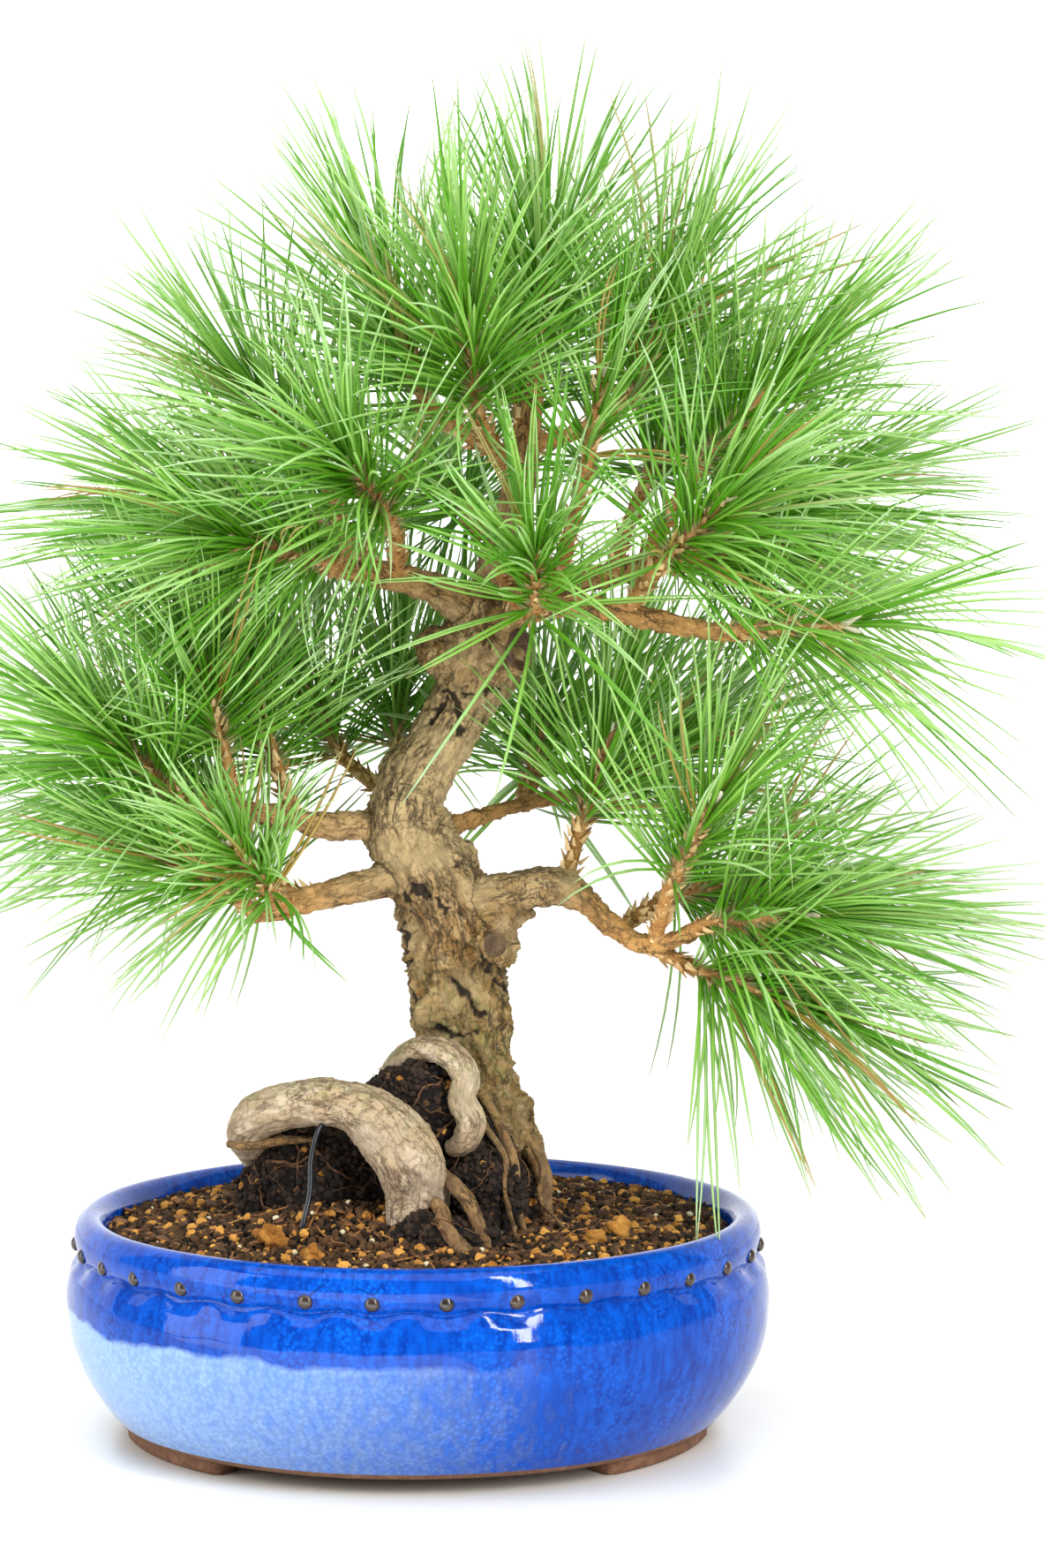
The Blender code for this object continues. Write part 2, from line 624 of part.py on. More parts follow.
# name: limb that it grows from, share along the limb, foot of the tuft in mm, direction, needle share
SHOOTS = {
    "shoot_crown_top": ("leader", 1.0, (42, 2, 374), (0.08, 0.0, 1.0), 1.0),
    "shoot_crown_top_right": ("leader", 0.8, (74, 4, 364), (0.4, 0.0, 0.92), 1.0),
    "shoot_crown_top_left": ("leader", 0.75, (4, 0, 362), (-0.34, 0.0, 0.94), 1.0),
    "shoot_crown_top_back": ("leader", 0.65, (36, 40, 358), (0.0, 0.58, 0.82), 1.0),
    "shoot_crown_top_front": ("leader", 0.7, (22, -36, 358), (-0.1, -0.5, 0.86), 1.0),
    "shoot_crown_front": ("leader", 0.45, (40, -44, 318), (0.05, -0.9, 0.38), 0.9),
    "shoot_crown_spire": ("limb_right_top", 0.35, (60, -46, 330), (0.22, -0.15, 0.95), 0.85),
    "shoot_crown_back": ("leader", 0.4, (18, 48, 322), (-0.25, 0.85, 0.45), 1.0),
    "shoot_crown_right_1": ("limb_crown_right", 1.0, (104, 13, 316), (0.9, -0.05, 0.42), 1.0),
    "shoot_crown_right_2": ("limb_crown_right", 0.75, (100, -6, 342), (0.66, -0.12, 0.74), 1.0),
    "shoot_crown_right_3": ("limb_crown_right", 0.6, (82, 40, 336), (0.45, 0.55, 0.7), 1.0),
    "shoot_crown_right_4": ("limb_crown_right", 0.8, (100, 36, 306), (0.85, 0.5, 0.15), 1.0),
    "shoot_crown_left_1": ("limb_crown_left", 1.0, (-43, -11, 313), (-0.92, -0.1, 0.36), 1.0),
    "shoot_crown_left_2": ("limb_crown_left", 0.75, (-34, 2, 340), (-0.66, 0.1, 0.74), 1.0),
    "shoot_crown_left_3": ("limb_crown_left", 0.8, (-32, -36, 308), (-0.78, -0.56, 0.22), 1.0),
    "shoot_crown_left_4": ("limb_crown_left", 0.5, (-8, -38, 322), (-0.4, -0.7, 0.58), 1.0),
    "shoot_crown_left_5": ("limb_crown_left", 0.6, (-26, 30, 314), (-0.7, 0.62, 0.3), 1.0),
    "shoot_top_right_end": ("limb_right_top", 1.0, (112, -52, 285), (0.94, -0.1, 0.06), 0.95),
    "shoot_top_right_front": ("limb_right_top", 0.65, (84, -58, 308), (0.6, -0.5, 0.62), 0.9),
    "shoot_left_mid_1": ("limb_left_mid", 1.0, (-82, -31, 227), (-0.7, -0.2, 0.68), 1.0),
    "shoot_left_mid_2": ("limb_left_mid", 0.8, (-66, -28, 240), (-0.22, -0.15, 0.96), 1.0),
    "shoot_left_mid_3": ("limb_left_mid", 0.55, (-50, 2, 236), (-0.3, 0.4, 0.87), 1.0),
    "shoot_left_mid_4": ("limb_left_mid", 0.7, (-74, -4, 222), (-0.85, 0.4, 0.35), 1.0),
    "shoot_left_low_1": ("limb_left_low", 1.0, (-62, -30, 191), (-0.82, -0.24, 0.5), 0.8),
    "shoot_left_low_2": ("limb_left_low", 0.75, (-48, -46, 193), (-0.4, -0.66, 0.62), 0.62),
    "shoot_left_low_3": ("limb_left_low", 0.6, (-54, -4, 196), (-0.68, 0.5, 0.53), 0.78),
    "shoot_back_left_1": ("limb_back_left", 1.0, (-9, 50, 238), (0.05, 0.6, 0.8), 1.0),
    "shoot_back_left_2": ("limb_back_left", 0.6, (-28, 40, 236), (-0.45, 0.45, 0.77), 1.0),
    "shoot_back_right_1": ("limb_back_right", 1.0, (72, 28, 226), (0.75, 0.4, 0.52), 1.0),
    "shoot_back_right_2": ("limb_back_right", 0.55, (40, 42, 228), (0.15, 0.75, 0.6), 1.0),
    "shoot_right_low_1": ("limb_right_low", 1.0, (101, -44, 184), (0.93, -0.22, 0.12), 1.0),
    "shoot_right_low_2": ("limb_right_low", 0.85, (88, -48, 198), (0.4, -0.34, 0.85), 0.95),
    "shoot_right_low_3": ("limb_right_low", 0.72, (90, -12, 190), (0.95, 0.2, 0.12), 1.0),
    "shoot_right_low_4": ("limb_right_low", 0.8, (96, -36, 168), (0.92, -0.25, -0.3), 0.95),
    "shoot_right_low_5": ("limb_right_low", 0.45, (58, -10, 216), (0.3, 0.1, 0.95), 0.95),
}
TWIG_STEPS = 2


def along(path, share):
    """Place on a path at a share of its points."""
    at = share * (len(path) - 1)
    index = min(int(at), len(path) - 2)
    return path[index][0].lerp(path[index + 1][0], at - index)


def shoot_path(name):
    """The twig from inside its limb to the tuft, then the tuft's own rings, as (place, radius)."""
    limb, share, foot, direction, _ = SHOOTS[name]
    limb_path = WOOD_PATHS[limb]
    start = along(limb_path, share)
    foot = Vector(foot) * MM
    axis = Vector(direction).normalized()
    if share == 1.0:
        start = start - (limb_path[-1][0] - limb_path[-2][0]).normalized() * TWIG_RADIUS
    middle = start.lerp(foot, 0.5) - axis * (foot - start).length * TWIG_SAG
    rows = [(*(place / MM), TWIG_RADIUS / MM) for place in (start, middle, foot)]
    twig = smooth_path(rows, TWIG_STEPS)
    tuft = []
    for ring in range(1, TUFT_RINGS + 1):
        share = ring / TUFT_RINGS
        taper = TUFT_TAPER[0] + (TUFT_TAPER[1] - TUFT_TAPER[0]) * share
        tuft.append((foot + axis * TUFT_LENGTH * share, TWIG_RADIUS * taper))
    return twig + tuft


class Thicket:
    """All the wood and needles so far, as tapering segments, to keep new needles clear of them."""

    def __init__(self):
        self.rows = []
        self.owners = []
        self.starts = np.zeros((0, 3))

    def add(self, owner, start, end, start_radius, end_radius):
        self.rows.append((*start, *end, start_radius, end_radius))
        self.owners.append(owner)

    def add_path(self, owner, path):
        for (a, radius_a), (b, radius_b) in zip(path, path[1:]):
            self.add(owner, a, b, radius_a, radius_b)

    def is_clear(self, owner, start, end, start_radius):
        """Whether a needle from start to its tip at end is clear of every other owner's pieces."""
        keep = [k for k, other in enumerate(self.owners) if other != owner]
        rows = np.array(self.rows)[keep]
        p, d1 = np.array(start), np.array(end) - np.array(start)
        q, d2 = rows[:, 0:3], rows[:, 3:6] - rows[:, 0:3]
        gap = p - q
        a, e = d1 @ d1, np.einsum("ij,ij->i", d2, d2)
        f, b = np.einsum("ij,ij->i", d2, gap), d2 @ d1
        c = gap @ d1
        down = np.maximum(a * e - b * b, 1e-12)
        s = np.clip((b * f - c * e) / down, 0, 1)
        t = np.clip((b * s + f) / e, 0, 1)
        s = np.clip((b * t - c) / a, 0, 1)
        apart = gap + s[:, None] * d1 - t[:, None] * d2
        apart = np.linalg.norm(apart, axis=1)
        room = start_radius * (1 - s) + rows[:, 6] * (1 - t) + rows[:, 7] * t
        return bool((apart > room + NEEDLE_CLEARANCE).all())


def needle_tip(middle, axis, outward, spread, length, rng, attempt):
    """The point that a needle reaches, turned a little more at each new attempt."""
    sway = NEEDLE_SWAY + NEEDLE_SWAY_STEP * attempt
    lean = spread + rng.uniform(-sway, sway)
    direction = axis * math.cos(lean) + outward * math.sin(lean)
    side = axis.cross(outward)
    direction = (direction + side * rng.uniform(-sway, sway)).normalized()
    return middle + direction * length * rng.uniform(NEEDLE_LEAST, 1.0) * (1 - NEEDLE_SHRINK * attempt)


def make_shoot(name, seed, thicket):
    """A twig with its tuft: a tapering tube whose end faces are drawn out into needles."""
    limb, _, _, direction, needle_share = SHOOTS[name]
    rng = random.Random(seed)
    path = shoot_path(name)
    seats = [grown(other) for other in (limb, *ALSO_SEATED_ON.get(limb, ()))]
    body = boolean(tube(path, name, 1), "DIFFERENCE", seats)
    axis = Vector(direction).normalized()
    foot = path[-TUFT_RINGS - 1][0]
    step = TUFT_LENGTH / TUFT_RINGS
    bm = bmesh.new()
    bm.from_mesh(body)
    bm.faces.ensure_lookup_table()
    for face in list(bm.faces):
        middle = face.calc_center_median()
        height = (middle - foot).dot(axis) / step
        outward = middle - foot - axis * (middle - foot).dot(axis)
        beside = 0 < height < TUFT_RINGS and face.normal.dot(axis) < END_FACING
        if not beside or len(face.verts) != 4:
            continue
        outward.normalize()
        low, high = NEEDLE_SPREAD
        spread = low + (high - low) * height / TUFT_RINGS
        radius = step * 0.5
        for attempt in range(TRIES):
            tip = needle_tip(middle, axis, outward, spread, NEEDLE_LENGTH * needle_share, rng, attempt)
            if thicket.is_clear(name, middle, tip, radius):
                thicket.add(name, middle, tip, radius, 0.0)
                point = bmesh.ops.poke(bm, faces=[face])["verts"][0]
                point.co = tip
                break
    body.clear_geometry()
    bmesh.ops.triangulate(bm, faces=[f for f in bm.faces if len(f.verts) > 4])
    bm.to_mesh(body)
    bm.free()
    return part(name, body, "needle")


def make_tree():
    make_trunk()
    for name in (*ROOTS, *LIMBS):
        make_wood(name)
    thicket = Thicket()
    for name, path in WOOD_PATHS.items():
        thicket.add_path(name, path)
    for name in SHOOTS:
        thicket.add_path(name, shoot_path(name))
    for seed, name in enumerate(SHOOTS):
        make_shoot(name, seed, thicket)


make_pot()
for number in range(DRAIN_COUNT):
    make_drain_net(number)
make_potting_mix()
make_root_ball()
make_tie_wire()
for seed, name in enumerate(GRAINS):
    make_grain(name, seed)
make_tree()
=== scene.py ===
"""Black pine bonsai with exposed roots, in a round pot of blue-glazed stoneware.

Metres, +Z up, the front of the tree towards -Y. Everything is laid out from the pot's own axis, in
millimetres, and moved to its place as it is made into a mesh.
"""

import json
import logging
import math
import random
from collections.abc import Sequence
from dataclasses import dataclass, field
from enum import Enum

import bmesh
import bpy
import numpy as np
from mathutils import Matrix, Vector, noise

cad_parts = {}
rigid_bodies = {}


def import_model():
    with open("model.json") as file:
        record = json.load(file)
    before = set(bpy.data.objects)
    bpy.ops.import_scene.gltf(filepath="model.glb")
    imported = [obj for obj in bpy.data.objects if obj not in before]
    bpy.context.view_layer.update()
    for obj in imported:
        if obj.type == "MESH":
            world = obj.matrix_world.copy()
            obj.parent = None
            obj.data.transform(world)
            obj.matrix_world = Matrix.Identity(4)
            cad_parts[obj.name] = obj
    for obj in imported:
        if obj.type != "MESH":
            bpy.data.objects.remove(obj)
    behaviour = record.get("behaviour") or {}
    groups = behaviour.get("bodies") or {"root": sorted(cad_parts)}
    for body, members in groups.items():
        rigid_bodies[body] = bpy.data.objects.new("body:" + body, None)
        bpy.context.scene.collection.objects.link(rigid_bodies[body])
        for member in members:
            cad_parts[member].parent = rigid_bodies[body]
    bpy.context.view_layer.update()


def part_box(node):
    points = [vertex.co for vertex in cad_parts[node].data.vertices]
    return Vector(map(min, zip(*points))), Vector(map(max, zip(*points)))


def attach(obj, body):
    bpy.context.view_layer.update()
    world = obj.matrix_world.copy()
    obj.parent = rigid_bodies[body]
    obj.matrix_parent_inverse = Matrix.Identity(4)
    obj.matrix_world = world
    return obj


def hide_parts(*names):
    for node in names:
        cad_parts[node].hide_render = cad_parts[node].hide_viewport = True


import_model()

log = logging.getLogger("bonsai")

MM = 0.001
NOISE_SEED = 1795157877  # for vectors of noise, which follow the clock if none is given
GOLDEN_ANGLE = math.pi * (3 - math.sqrt(5))  # between one leaf and the next along a stem
FLOOR_TOP = 13.0  # the pot's floor, in mm above the table
DRAIN_OFFSET = 48.0  # of each drain hole from the pot's axis, in mm

Point = tuple[float, float, float]
Route = list[tuple[float, float, float, float]]  # x, y, z and radius in mm, from the thick end
Rows = np.ndarray  # rows of x, y, z, and of a radius where there is one
Given = bpy.types.Node | bpy.types.NodeSocket | float | Sequence[float]  # what a node's input takes


# ------------------------------------------------------------------ nodes and colours


def linear(code: str) -> tuple[float, float, float, float]:
    """Turn an sRGB hex colour, "#RRGGBB", into the linear colour that shaders use."""
    parts = (int(code[k : k + 2], 16) / 255 for k in (1, 3, 5))
    return (*(c / 12.92 if c <= 0.04045 else ((c + 0.055) / 1.055) ** 2.4 for c in parts), 1.0)


@dataclass
class Nodes:
    """Adds nodes to one tree, with short forms for the kinds that repeat."""

    tree: bpy.types.NodeTree

    def add(
        self, kind: str, links: dict[str | int, object] | None = None, **settings: object
    ) -> bpy.types.Node:
        """Add a node, with its settings, values and links.

        Args:
            kind: The node's type.
            links: A value, a socket or a node for each input, by the input's name or number.
            **settings: Properties of the node itself.

        Returns:
            The node.
        """
        node = self.tree.nodes.new(kind)
        for key, value in settings.items():
            setattr(node, key, value)
        for key, value in (links or {}).items():
            if isinstance(key, int):
                socket = node.inputs[key]
            else:
                socket = next(s for s in node.inputs if s.name == key and s.enabled)
            if isinstance(value, (bpy.types.Node, bpy.types.NodeSocket)):
                self.feed(value, socket)
            else:
                socket.default_value = value
        return node

    def feed(self, source: bpy.types.Node | bpy.types.NodeSocket, socket: bpy.types.NodeSocket) -> None:
        """Link an output, or a node's first one, to an input."""
        if isinstance(source, bpy.types.Node):
            source = next(s for s in source.outputs if s.enabled)
        self.tree.links.new(source, socket)

    def math(self, operation: str, *values: Given) -> bpy.types.Node:
        """One operation on up to three numbers."""
        return self.add("ShaderNodeMath", dict(enumerate(values)), operation=operation)

    def vector(self, operation: str, *values: Given) -> bpy.types.Node:
        """One operation on two vectors."""
        return self.add("ShaderNodeVectorMath", dict(enumerate(values)), operation=operation)

    def scaled(self, vector: Given, factor: Given) -> bpy.types.Node:
        """A vector made longer or shorter."""
        return self.add("ShaderNodeVectorMath", {0: vector, "Scale": factor}, operation="SCALE")

    def centred(self, colour: Given) -> bpy.types.Node:
        """A noise's colour as a vector that points any way."""
        return self.vector("SUBTRACT", colour, (0.5, 0.5, 0.5))

    def parts(self, vector: Given) -> bpy.types.NodeOutputs:
        """A vector's X, Y and Z."""
        return self.add("ShaderNodeSeparateXYZ", {"Vector": vector}).outputs

    def joined(self, **parts: Given) -> bpy.types.Node:
        """A vector from its X, Y and Z, each 0 if it isn't given."""
        return self.add("ShaderNodeCombineXYZ", parts)

    def mix(self, share: Given, first: Given | str, second: Given | str) -> bpy.types.Node:
        """The first colour turned into the second by a share; each may be a hex code."""
        first, second = (linear(colour) if isinstance(colour, str) else colour for colour in (first, second))
        return self.add("ShaderNodeMix", {"Factor": share, "A": first, "B": second}, data_type="RGBA")

    def between(self, share: Given, first: Given, second: Given) -> bpy.types.Node:
        """The number at a share of the way from the first to the second."""
        return self.add("ShaderNodeMix", {"Factor": share, "A": first, "B": second}, data_type="FLOAT")

    def ramp(
        self, value: Given, start: float, end: float, most: float = 1.0, least: float = 0.0
    ) -> bpy.types.Node:
        """Least at the start, most at the end, straight between and level beyond."""
        limits = {"From Min": start, "From Max": end, "To Min": least, "To Max": most}
        return self.add("ShaderNodeMapRange", {"Value": value, **limits})

    def noise(self, place: Given, size_mm: float, detail: float, roughness: float = 0.5) -> bpy.types.Node:
        """Cloudy noise with lumps of a size."""
        values = {"Vector": place, "Scale": 1 / (size_mm * MM), "Detail": detail, "Roughness": roughness}
        return self.add("ShaderNodeTexNoise", values)

    def cells(self, place: Given, size_mm: float, feature: str = "F1") -> bpy.types.Node:
        """Uneven cells of a size."""
        values = {"Vector": place, "Scale": 1 / (size_mm * MM)}
        return self.add("ShaderNodeTexVoronoi", values, feature=feature)

    def stretched(self, place: Given, squeeze: float) -> bpy.types.Node:
        """A place whose Z is squeezed, so that what is laid on it is drawn out along Z."""
        return self.add("ShaderNodeMapping", {"Vector": place, "Scale": (1, 1, squeeze)})

    def place(self) -> bpy.types.NodeSocket:
        """The place on the object, in its own coordinates."""
        return self.add("ShaderNodeTexCoord").outputs["Object"]

    def attribute(self, name: str, output: str = "Fac") -> bpy.types.NodeSocket:
        """What the mesh stores under a name, in a shader."""
        return self.add("ShaderNodeAttribute", attribute_name=name).outputs[output]

    def bump(self, height: Given, strength: float, depth: float, over: Given | None = None) -> bpy.types.Node:
        """A relief of a depth in metres, over another one if there is one."""
        values = {"Height": height, "Strength": strength, "Distance": depth}
        return self.add("ShaderNodeBump", values if over is None else {**values, "Normal": over})


# ------------------------------------------------------------------ meshes


def pot_axis() -> Vector:
    """Where the pot's axis meets the surface that the pot stands on."""
    low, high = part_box("pot")
    return Vector(((low.x + high.x) / 2, (low.y + high.y) / 2, 0))


AXIS = pot_axis()


def show(name: str, mesh: bpy.types.Mesh, nodes: Sequence[str]) -> None:
    """Put a finished mesh in the scene, from the pot's axis, in place of some CAD nodes.

    Args:
        name: The piece's name.
        mesh: Its mesh in metres, laid out from the pot's axis, with its materials.
        nodes: The CAD nodes that it stands for.
    """
    mesh.transform(Matrix.Translation(AXIS))
    mesh.name = name
    piece = carrier(name, mesh)
    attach(piece, "root")
    if nodes:
        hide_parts(*nodes)
    log.info("%s: %d faces", name, len(mesh.polygons))


def carrier(name: str, mesh: bpy.types.Mesh) -> bpy.types.Object:
    """An object in the scene that carries a mesh."""
    obj = bpy.data.objects.new(name, mesh)
    bpy.context.scene.collection.objects.link(obj)
    return obj


def mesh_of(bm: bmesh.types.BMesh, name: str) -> bpy.types.Mesh:
    """Turn a bmesh into a mesh and free it."""
    mesh = bpy.data.meshes.new(name)
    bm.to_mesh(mesh)
    bm.free()
    return mesh


def drawn(name: str, points: Sequence, edges: Sequence = (), faces: Sequence = ()) -> bpy.types.Mesh:
    """A mesh from lists of points, edges and faces."""
    mesh = bpy.data.meshes.new(name)
    mesh.from_pydata(points, edges, faces)
    return mesh


def evaluated(obj: bpy.types.Object) -> bpy.types.Mesh:
    """Apply an object's modifiers, remove the object and return the mesh."""
    graph = bpy.context.evaluated_depsgraph_get()
    mesh = bpy.data.meshes.new_from_object(obj.evaluated_get(graph))
    bpy.data.objects.remove(obj)
    return mesh


def fused(meshes: Sequence[bpy.types.Mesh], name: str, voxel: float, smoothings: int) -> bpy.types.Mesh:
    """Meshes grown together into one smooth solid.

    Args:
        meshes: Closed meshes that overlap.
        name: The solid's name.
        voxel: How fine the solid is, in mm.
        smoothings: How often it is smoothed.

    Returns:
        The solid.
    """
    solid = carrier(f"{name}_carrier", joined(meshes, name))
    remesh = solid.modifiers.new("remesh", "REMESH")
    remesh.mode = "VOXEL"
    remesh.voxel_size = voxel * MM
    smooth = solid.modifiers.new("smooth", "SMOOTH")
    smooth.iterations = smoothings
    return evaluated(solid)


def joined(meshes: Sequence[bpy.types.Mesh], name: str) -> bpy.types.Mesh:
    """One mesh that holds all of these, which stay separate shells."""
    bm = bmesh.new()
    for mesh in meshes:
        bm.from_mesh(mesh)
    return mesh_of(bm, name)


def dressed(mesh: bpy.types.Mesh, *finishes: "Finish") -> bpy.types.Mesh:
    """A mesh with these finishes alone, shaded smooth."""
    mesh.materials.clear()
    for finish in finishes:
        mesh.materials.append(finish.material())
    mesh.shade_smooth()
    return mesh


def read_rows(mesh: bpy.types.Mesh, what: str = "co") -> Rows:
    """Each vertex's place, "co", or its "normal"."""
    flat = np.empty(len(mesh.vertices) * 3, np.float32)
    mesh.vertices.foreach_get(what, flat)
    return flat.reshape(-1, 3).astype(float)


def set_points(mesh: bpy.types.Mesh, rows: Rows) -> None:
    """Move a mesh's vertices to these rows."""
    mesh.vertices.foreach_set("co", rows.astype(np.float32).ravel())
    mesh.update()


def write_attribute(mesh: bpy.types.Mesh, name: str, values: np.ndarray) -> None:
    """Store one number or one vector for each vertex, under the name that the materials read."""
    vector = values.ndim == 2
    layer = mesh.attributes.new(name, "FLOAT_VECTOR" if vector else "FLOAT", "POINT")
    layer.data.foreach_set("vector" if vector else "value", values.astype(np.float32).ravel())


def smoothstep(low: float, high: float, value: np.ndarray | float) -> np.ndarray:
    """0 below low, 1 above high, and a smooth rise between."""
    t = np.clip((value - low) / (high - low), 0, 1)
    return t * t * (3 - 2 * t)


def turns(count: int) -> list[float]:
    """A full turn in equal steps, in radians."""
    return [2 * math.pi * k / count for k in range(count)]


def smooth_route(route: Sequence[Sequence[float]], steps: int) -> Rows:
    """Points of a Catmull-Rom curve through a route.

    Args:
        route: Rows of x, y, z and radius in mm.
        steps: Points made for each stretch of the route.

    Returns:
        Rows of x, y, z and radius, in metres.
    """
    rows = [np.array(row, float) * MM for row in route]
    rows = [2 * rows[0] - rows[1], *rows, 2 * rows[-1] - rows[-2]]
    made = []
    for a, b, c, d in zip(rows, rows[1:], rows[2:], rows[3:]):
        for t in (k / steps for k in range(steps)):
            bend = (2 * a - 5 * b + 4 * c - d) * t**2 + (3 * b - a - 3 * c + d) * t**3
            made.append(0.5 * (2 * b + (c - a) * t + bend))
    return np.array([*made, rows[-2]])


# ------------------------------------------------------------------ finishes


@dataclass(frozen=True)
class Finish:
    """A material: its name, and the values that are even all over it."""

    name: str = "plain"
    roughness: float = 0.8
    ior: float = 1.45
    coat: float = 0.0
    coat_roughness: float = 0.04

    def material(self) -> bpy.types.Material:
        """The material, made on first use."""
        made = bpy.data.materials.get(self.name)
        if made is None:
            made = bpy.data.materials.new(self.name)
            made.use_nodes = True
            shader = made.node_tree.nodes["Principled BSDF"]
            shader.inputs["Roughness"].default_value = self.roughness
            shader.inputs["IOR"].default_value = self.ior
            shader.inputs["Coat Weight"].default_value = self.coat
            shader.inputs["Coat Roughness"].default_value = self.coat_roughness
            self.dress(Nodes(made.node_tree), shader)
        return made

    def dress(self, nodes: Nodes, shader: bpy.types.Node) -> None:
        """Give the shader its pattern."""


@dataclass(frozen=True)
class BlueGlaze(Finish):
    """Cobalt glaze on stoneware, dipped and fired: glassy, with small crystals, runs and crazing."""

    name: str = "cobalt_glaze"
    roughness: float = 0.06
    ior: float = 1.31
    deep: str = "#00308E"
    body: str = "#004BB6"
    bright: str = "#086AE4"
    # pale blue of the clouded glaze, and of the painted reflection of the white table
    milky_reflection: str = "#A2C6F0"
    iron: str = "#4A2C1A"
    cracked: str = "#0A1430"
    crystal_mm: float = 1.7
    run_mm: float = 3.2
    patch_mm: float = 26.0
    spot_mm: float = 14.0
    crazing_mm: float = 12.0
    relief_mm: float = 0.4
    milk_and_reflection_top_mm: float = 46.5  # height where the painted reflection of the white table, over a pale clouded glaze, begins
    milk_and_reflection_side_mm: tuple[float, float] = (78.0, -70.0)  # X where the painted reflection and the clouded glaze are at their faintest and their strongest
    crazing_low_mm: tuple[float, float] = (58.0, 66.0)  # heights between which the crazing sets in

    def dress(self, nodes: Nodes, shader: bpy.types.Node) -> None:
        """Mix the blues by runs and crystals, a pale clouded glaze with a painted reflection low down, iron
        where the glaze broke thin.
        """
        place = nodes.place()
        across, _, height = nodes.parts(place)
        patches = nodes.noise(place, self.patch_mm, 3.0)
        runs = nodes.noise(nodes.stretched(place, 0.3), self.run_mm, 5.0)
        crystals = nodes.cells(place, self.crystal_mm).outputs["Distance"]
        patch_share = nodes.ramp(patches, 0.35, 0.7)
        blue = nodes.mix(nodes.ramp(runs, 0.35, 0.66), self.deep, self.body)
        sparkle = nodes.math("MULTIPLY", nodes.ramp(crystals, 0.6, 0.1), patch_share)
        blue = nodes.mix(nodes.math("MULTIPLY", sparkle, 0.75), blue, self.bright)
        # painted reflection of the white table and of the light on the left, over a pale clouded glaze: low
        # down, strongest on the left, broken by crystals
        wave = nodes.math("MULTIPLY_ADD", nodes.math("SUBTRACT", patches, 0.5), 0.012, height)
        milk_and_reflection = nodes.ramp(wave, (self.milk_and_reflection_top_mm + 0.7) * MM, (self.milk_and_reflection_top_mm - 1.2) * MM)
        thin, thick = self.milk_and_reflection_side_mm
        side = nodes.ramp(nodes.math("MULTIPLY_ADD", runs, 0.1, across), thin * MM, thick * MM, 0.86)
        clear = nodes.ramp(crystals, 0.75, 0.15, least=0.72)
        milk_and_reflection = nodes.math("MULTIPLY", nodes.math("MULTIPLY", milk_and_reflection, side), clear)
        blue = nodes.mix(milk_and_reflection, blue, self.milky_reflection)
        # pinholes and thin spots, where iron from the clay shows
        spot = nodes.ramp(nodes.cells(place, self.spot_mm).outputs["Distance"], 0.07, 0.045)
        spot = nodes.math("MULTIPLY", spot, nodes.ramp(patches, 0.55, 0.6, 0.9))
        blue = nodes.mix(spot, blue, self.iron)
        # crazing: a net of fine dark cracks in the glass, in patches near the collar
        low, high = self.crazing_low_mm
        line = nodes.ramp(nodes.cells(place, self.crazing_mm, "DISTANCE_TO_EDGE"), 0.016, 0.006)
        line = nodes.math("MULTIPLY", line, nodes.ramp(height, low * MM, high * MM, 0.8))
        blue = nodes.mix(nodes.math("MULTIPLY", line, patch_share), blue, self.cracked)
        nodes.feed(blue, shader.inputs["Base Color"])
        relief = self.relief_mm * MM
        nodes.feed(nodes.bump(spot, -0.5, relief, nodes.bump(runs, 0.12, relief)), shader.inputs["Normal"])


@dataclass(frozen=True)
class GrainyEarth(Finish):
    """Clay, peat, stone or bark crumbs: matt and grainy, each piece of its own tone."""

    name: str = "earth"
    roughness: float = 0.95
    dark: str = "#2A1B12"
    middle: str = "#5A3B22"
    light: str = "#8A6238"
    grain_mm: float = 0.9
    patch_mm: float = 5.0
    relief_mm: float = 0.4

    def dress(self, nodes: Nodes, shader: bpy.types.Node) -> None:
        """Mix three tones by patch and by piece, with a grainy bump."""
        place = nodes.place()
        grains = nodes.noise(place, self.grain_mm, 3.0, 0.7)
        colour = nodes.mix(nodes.ramp(grains, 0.32, 0.68), self.dark, self.middle)
        patches = nodes.noise(place, self.patch_mm, 4.0)
        lighter = nodes.math("MULTIPLY_ADD", nodes.attribute("tone"), 0.55, patches)
        colour = nodes.mix(nodes.ramp(lighter, 0.5, 1.0), colour, self.light)
        nodes.feed(colour, shader.inputs["Base Color"])
        nodes.feed(nodes.bump(grains, 0.8, self.relief_mm * MM), shader.inputs["Normal"])


